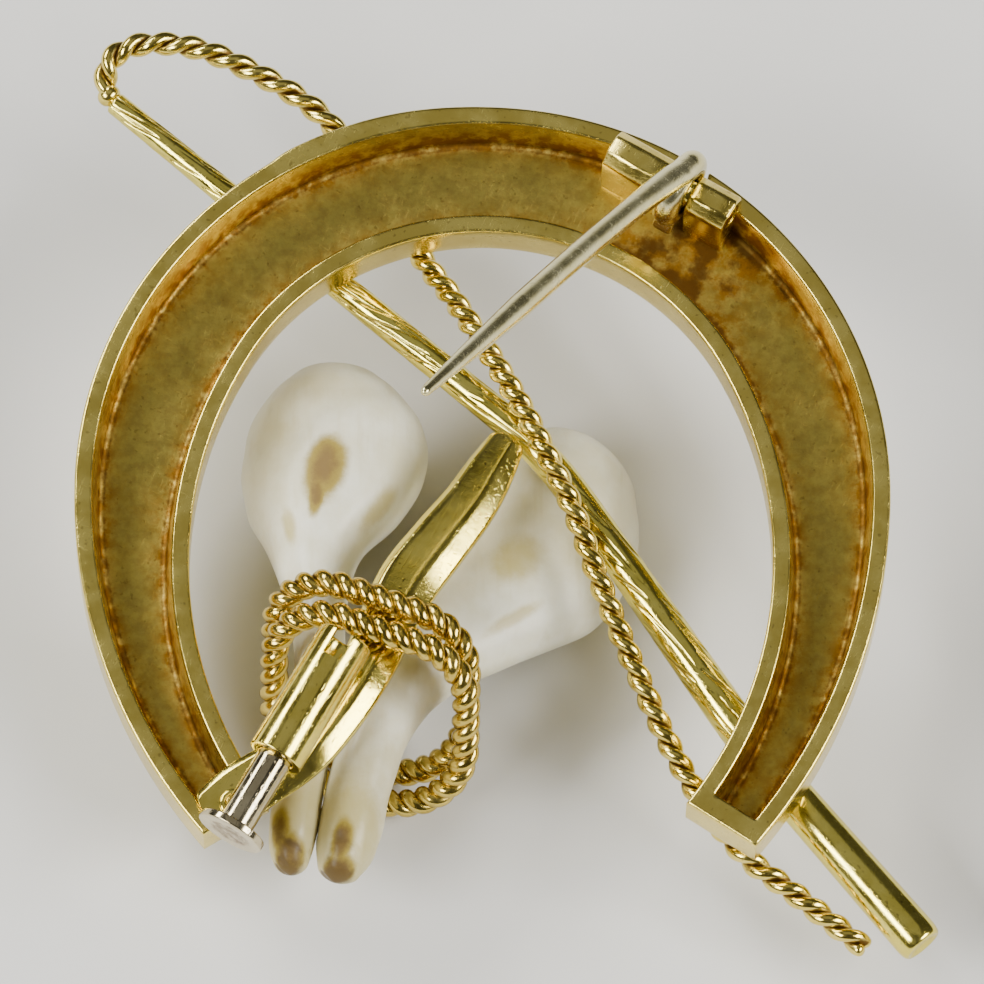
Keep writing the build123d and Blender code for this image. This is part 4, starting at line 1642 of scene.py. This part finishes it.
@dataclass
class Studio:
    """Pale table, soft boxes and the camera at the photograph's angle."""

    tilt: float = 18.5
    roll: float = 1.2
    view_width: float = 42.05
    # what the camera looks at: height in mm, and shift right and up
    middle: float = 2.5
    aim: tuple[float, float] = (0.406, -0.085)
    distance: float = 600.0
    sensor: float = 36.0
    room: float = 0.07
    # half the table's width in metres
    table: float = 1.5
    # name, place and size in metres, watts, colour
    lamps: tuple[tuple[Any, ...], ...] = (
        ("left", (-0.38, -0.20, 0.34), (0.34, 0.16), 3.4, (1.0, 0.99, 0.95)),
        ("right", (0.37, -0.16, 0.34), (0.34, 0.20), 3.6, (1.0, 0.98, 0.93)),
        ("back", (-0.34, 0.27, 0.34), (0.30, 0.12), 2.2, (1.0, 1.0, 0.97)),
        ("over", (-0.03, 0.08, 0.60), (0.45, 0.45), 0.16, (1.0, 1.0, 0.98)),
    )

    def put(self, thing: Any, axes: list[Array], place: Array) -> None:
        """Turn a camera or lamp to its three axes, move it to its place and link it.

        Args:
            thing: The Blender object.
            axes: Its right, up and backward directions.
            place: Where it stands, in metres.
        """
        pose = np.eye(4)
        pose[:3, :3] = np.column_stack(axes)
        pose[:3, 3] = place
        thing.matrix_world = Matrix(pose.tolist())
        bpy.context.scene.collection.objects.link(thing)

    def camera(self) -> None:
        """Set the camera along the photograph's line of sight, far off with a long lens."""
        t, r = radians(self.tilt), radians(self.roll)
        towards = np.array([0, -sin(t), cos(t)])
        base_up = np.array([0, cos(t), sin(t)])
        right = cos(r) * np.array([1, 0, 0]) + sin(r) * base_up
        up = cos(r) * base_up - sin(r) * np.array([1, 0, 0])
        middle = UP * self.middle + right * self.aim[0] + up * self.aim[1]
        turn = lay_matrix()
        place = laid(middle) + turn @ towards * self.distance * MM
        data = bpy.data.cameras.new("Camera")
        data.sensor_width = self.sensor
        data.lens = self.sensor * self.distance / self.view_width
        data.clip_start, data.clip_end = 0.01, 10.0
        eye = bpy.data.objects.new("Camera", data)
        self.put(eye, [turn @ right, turn @ up, turn @ towards], place)
        bpy.context.scene.camera = eye

    def soft_box(self, name: str, place: Colour, size: tuple[float, float], power: float,
                 tone: Colour) -> None:
        """Rectangular light at a place in metres, facing the brooch.

        Args:
            name: Light's name.
            place: Where it stands.
            size: Width and height in metres.
            power: Watts.
            tone: Colour.
        """
        data = bpy.data.lights.new(name, "AREA")
        data.shape, data.size, data.size_y = "RECTANGLE", size[0], size[1]
        data.energy, data.color = power, tone
        back = unit(np.array(place))
        right = unit(np.cross(UP if abs(back[2]) < 0.95 else np.array([0, 1.0, 0]), back))
        self.put(bpy.data.objects.new(name, data), [right, np.cross(back, right), back], place)

    def build(self) -> None:
        """Make the table, the lights, the dim room and the camera."""
        mesh = bpy.data.meshes.new("table")
        corners = ((-1, -1), (1, -1), (1, 1), (-1, 1))
        mesh.from_pydata([(x * self.table, y * self.table, 0) for x, y in corners], [], [(0, 1, 2, 3)])
        table = bpy.data.objects.new("table", mesh)
        mesh.materials.append(TableFinish().build())
        bpy.context.scene.collection.objects.link(table)
        for lamp in self.lamps:
            self.soft_box(*lamp)
        world = bpy.data.worlds.new("room")
        world.use_nodes = True
        room = world.node_tree.nodes["Background"].inputs
        room["Color"].default_value = (*[self.room] * 3, 1)
        room["Strength"].default_value = 1.0
        bpy.context.scene.world = world
        self.camera()


def main() -> None:
    """Build every piece in order."""
    logging.basicConfig(level=logging.INFO, format="%(message)s")
    shoe, strap = Horseshoe(), Strap()
    shoe.build()
    Whip().build()
    strap.build()
    Lash().build()
    Binding("binding_rope_upper", "binding_turn_upper", 0.0, strap).build()
    Binding("binding_rope_lower", "binding_turn_lower", 1.5, strap).build()
    Tooth(
        "tooth_of_the_left", "tooth_left", strap,
        length=24.2, width=8.0, depth=6.0, side=-2.6, back=-11.65, heading=90.0, seed=41,
        rows=(
            (0.0, -0.075, -0.075, 0.07, 0.09, 0), (0.0475, -0.075, -0.067, 0.115, 0.17, 0),
            (0.176, -0.034, -0.017, 0.129, 0.20, 0), (0.32, 0.034, 0.067, 0.13, 0.225, 0),
            (0.436, 0.046, 0.167, 0.137, 0.262, 0), (0.543, 0.019, 0.275, 0.175, 0.333, 0),
            (0.636, 0.012, 0.375, 0.265, 0.39, 0), (0.70, 0.05, 0.45, 0.395, 0.46, 0),
            (0.826, 0.10, 0.583, 0.50, 0.53, 0), (0.925, 0.10, 0.64, 0.41, 0.46, 0),
            (0.976, 0.094, 0.655, 0.275, 0.33, 0), (1.001, 0.09, 0.665, 0.155, 0.19, 0),
            (1.011, 0.09, 0.67, 0.06, 0.07, 0),
        ),
        stains=((0.765, 93, 1.55, 0.85), (0.715, 96, 1.1, 0.35), (0.03, 95, 0.9, 0.8),
                (0.075, 125, 1.0, 0.6)),
        patches=((0.657, 120, 0.9, 0.35), (0.70, 40, 1.2, 0.6), (0.07, 100, 2.6, 1.8)),
    ).build()
    Tooth(
        "tooth_of_the_right", "tooth_right", strap,
        length=24.24, width=8.7, depth=5.8, side=-1.3, back=-11.9, heading=63.0, seed=51,
        rows=(
            (0.0, 0.0, -0.06, 0.08, 0.112, 13), (0.054, -0.032, -0.052, 0.14, 0.207, 14),
            (0.183, -0.138, 0.0, 0.156, 0.241, 12), (0.332, -0.213, 0.121, 0.172, 0.267, 6),
            (0.431, -0.199, 0.259, 0.218, 0.32, 0), (0.559, -0.161, 0.44, 0.375, 0.385, -4),
            (0.703, -0.056, 0.645, 0.50, 0.44, -6), (0.82, -0.022, 0.75, 0.483, 0.45, -7),
            (0.934, -0.02, 0.828, 0.339, 0.43, -6), (0.985, -0.012, 0.853, 0.18, 0.29, -6),
            (1.0, -0.011, 0.86, 0.07, 0.12, -6),
        ),
        stains=((0.062, 96, 0.95, 0.5), (0.015, 84, 0.7, 0.8)),
        patches=((0.70, 86, 1.3, 0.9), (0.60, 55, 1.4, 0.3), (0.05, 90, 2.2, 1.5)),
    ).build()
    Pin(shoe, strap).build()
    Studio().build()


if __name__ == "__main__":
    main()
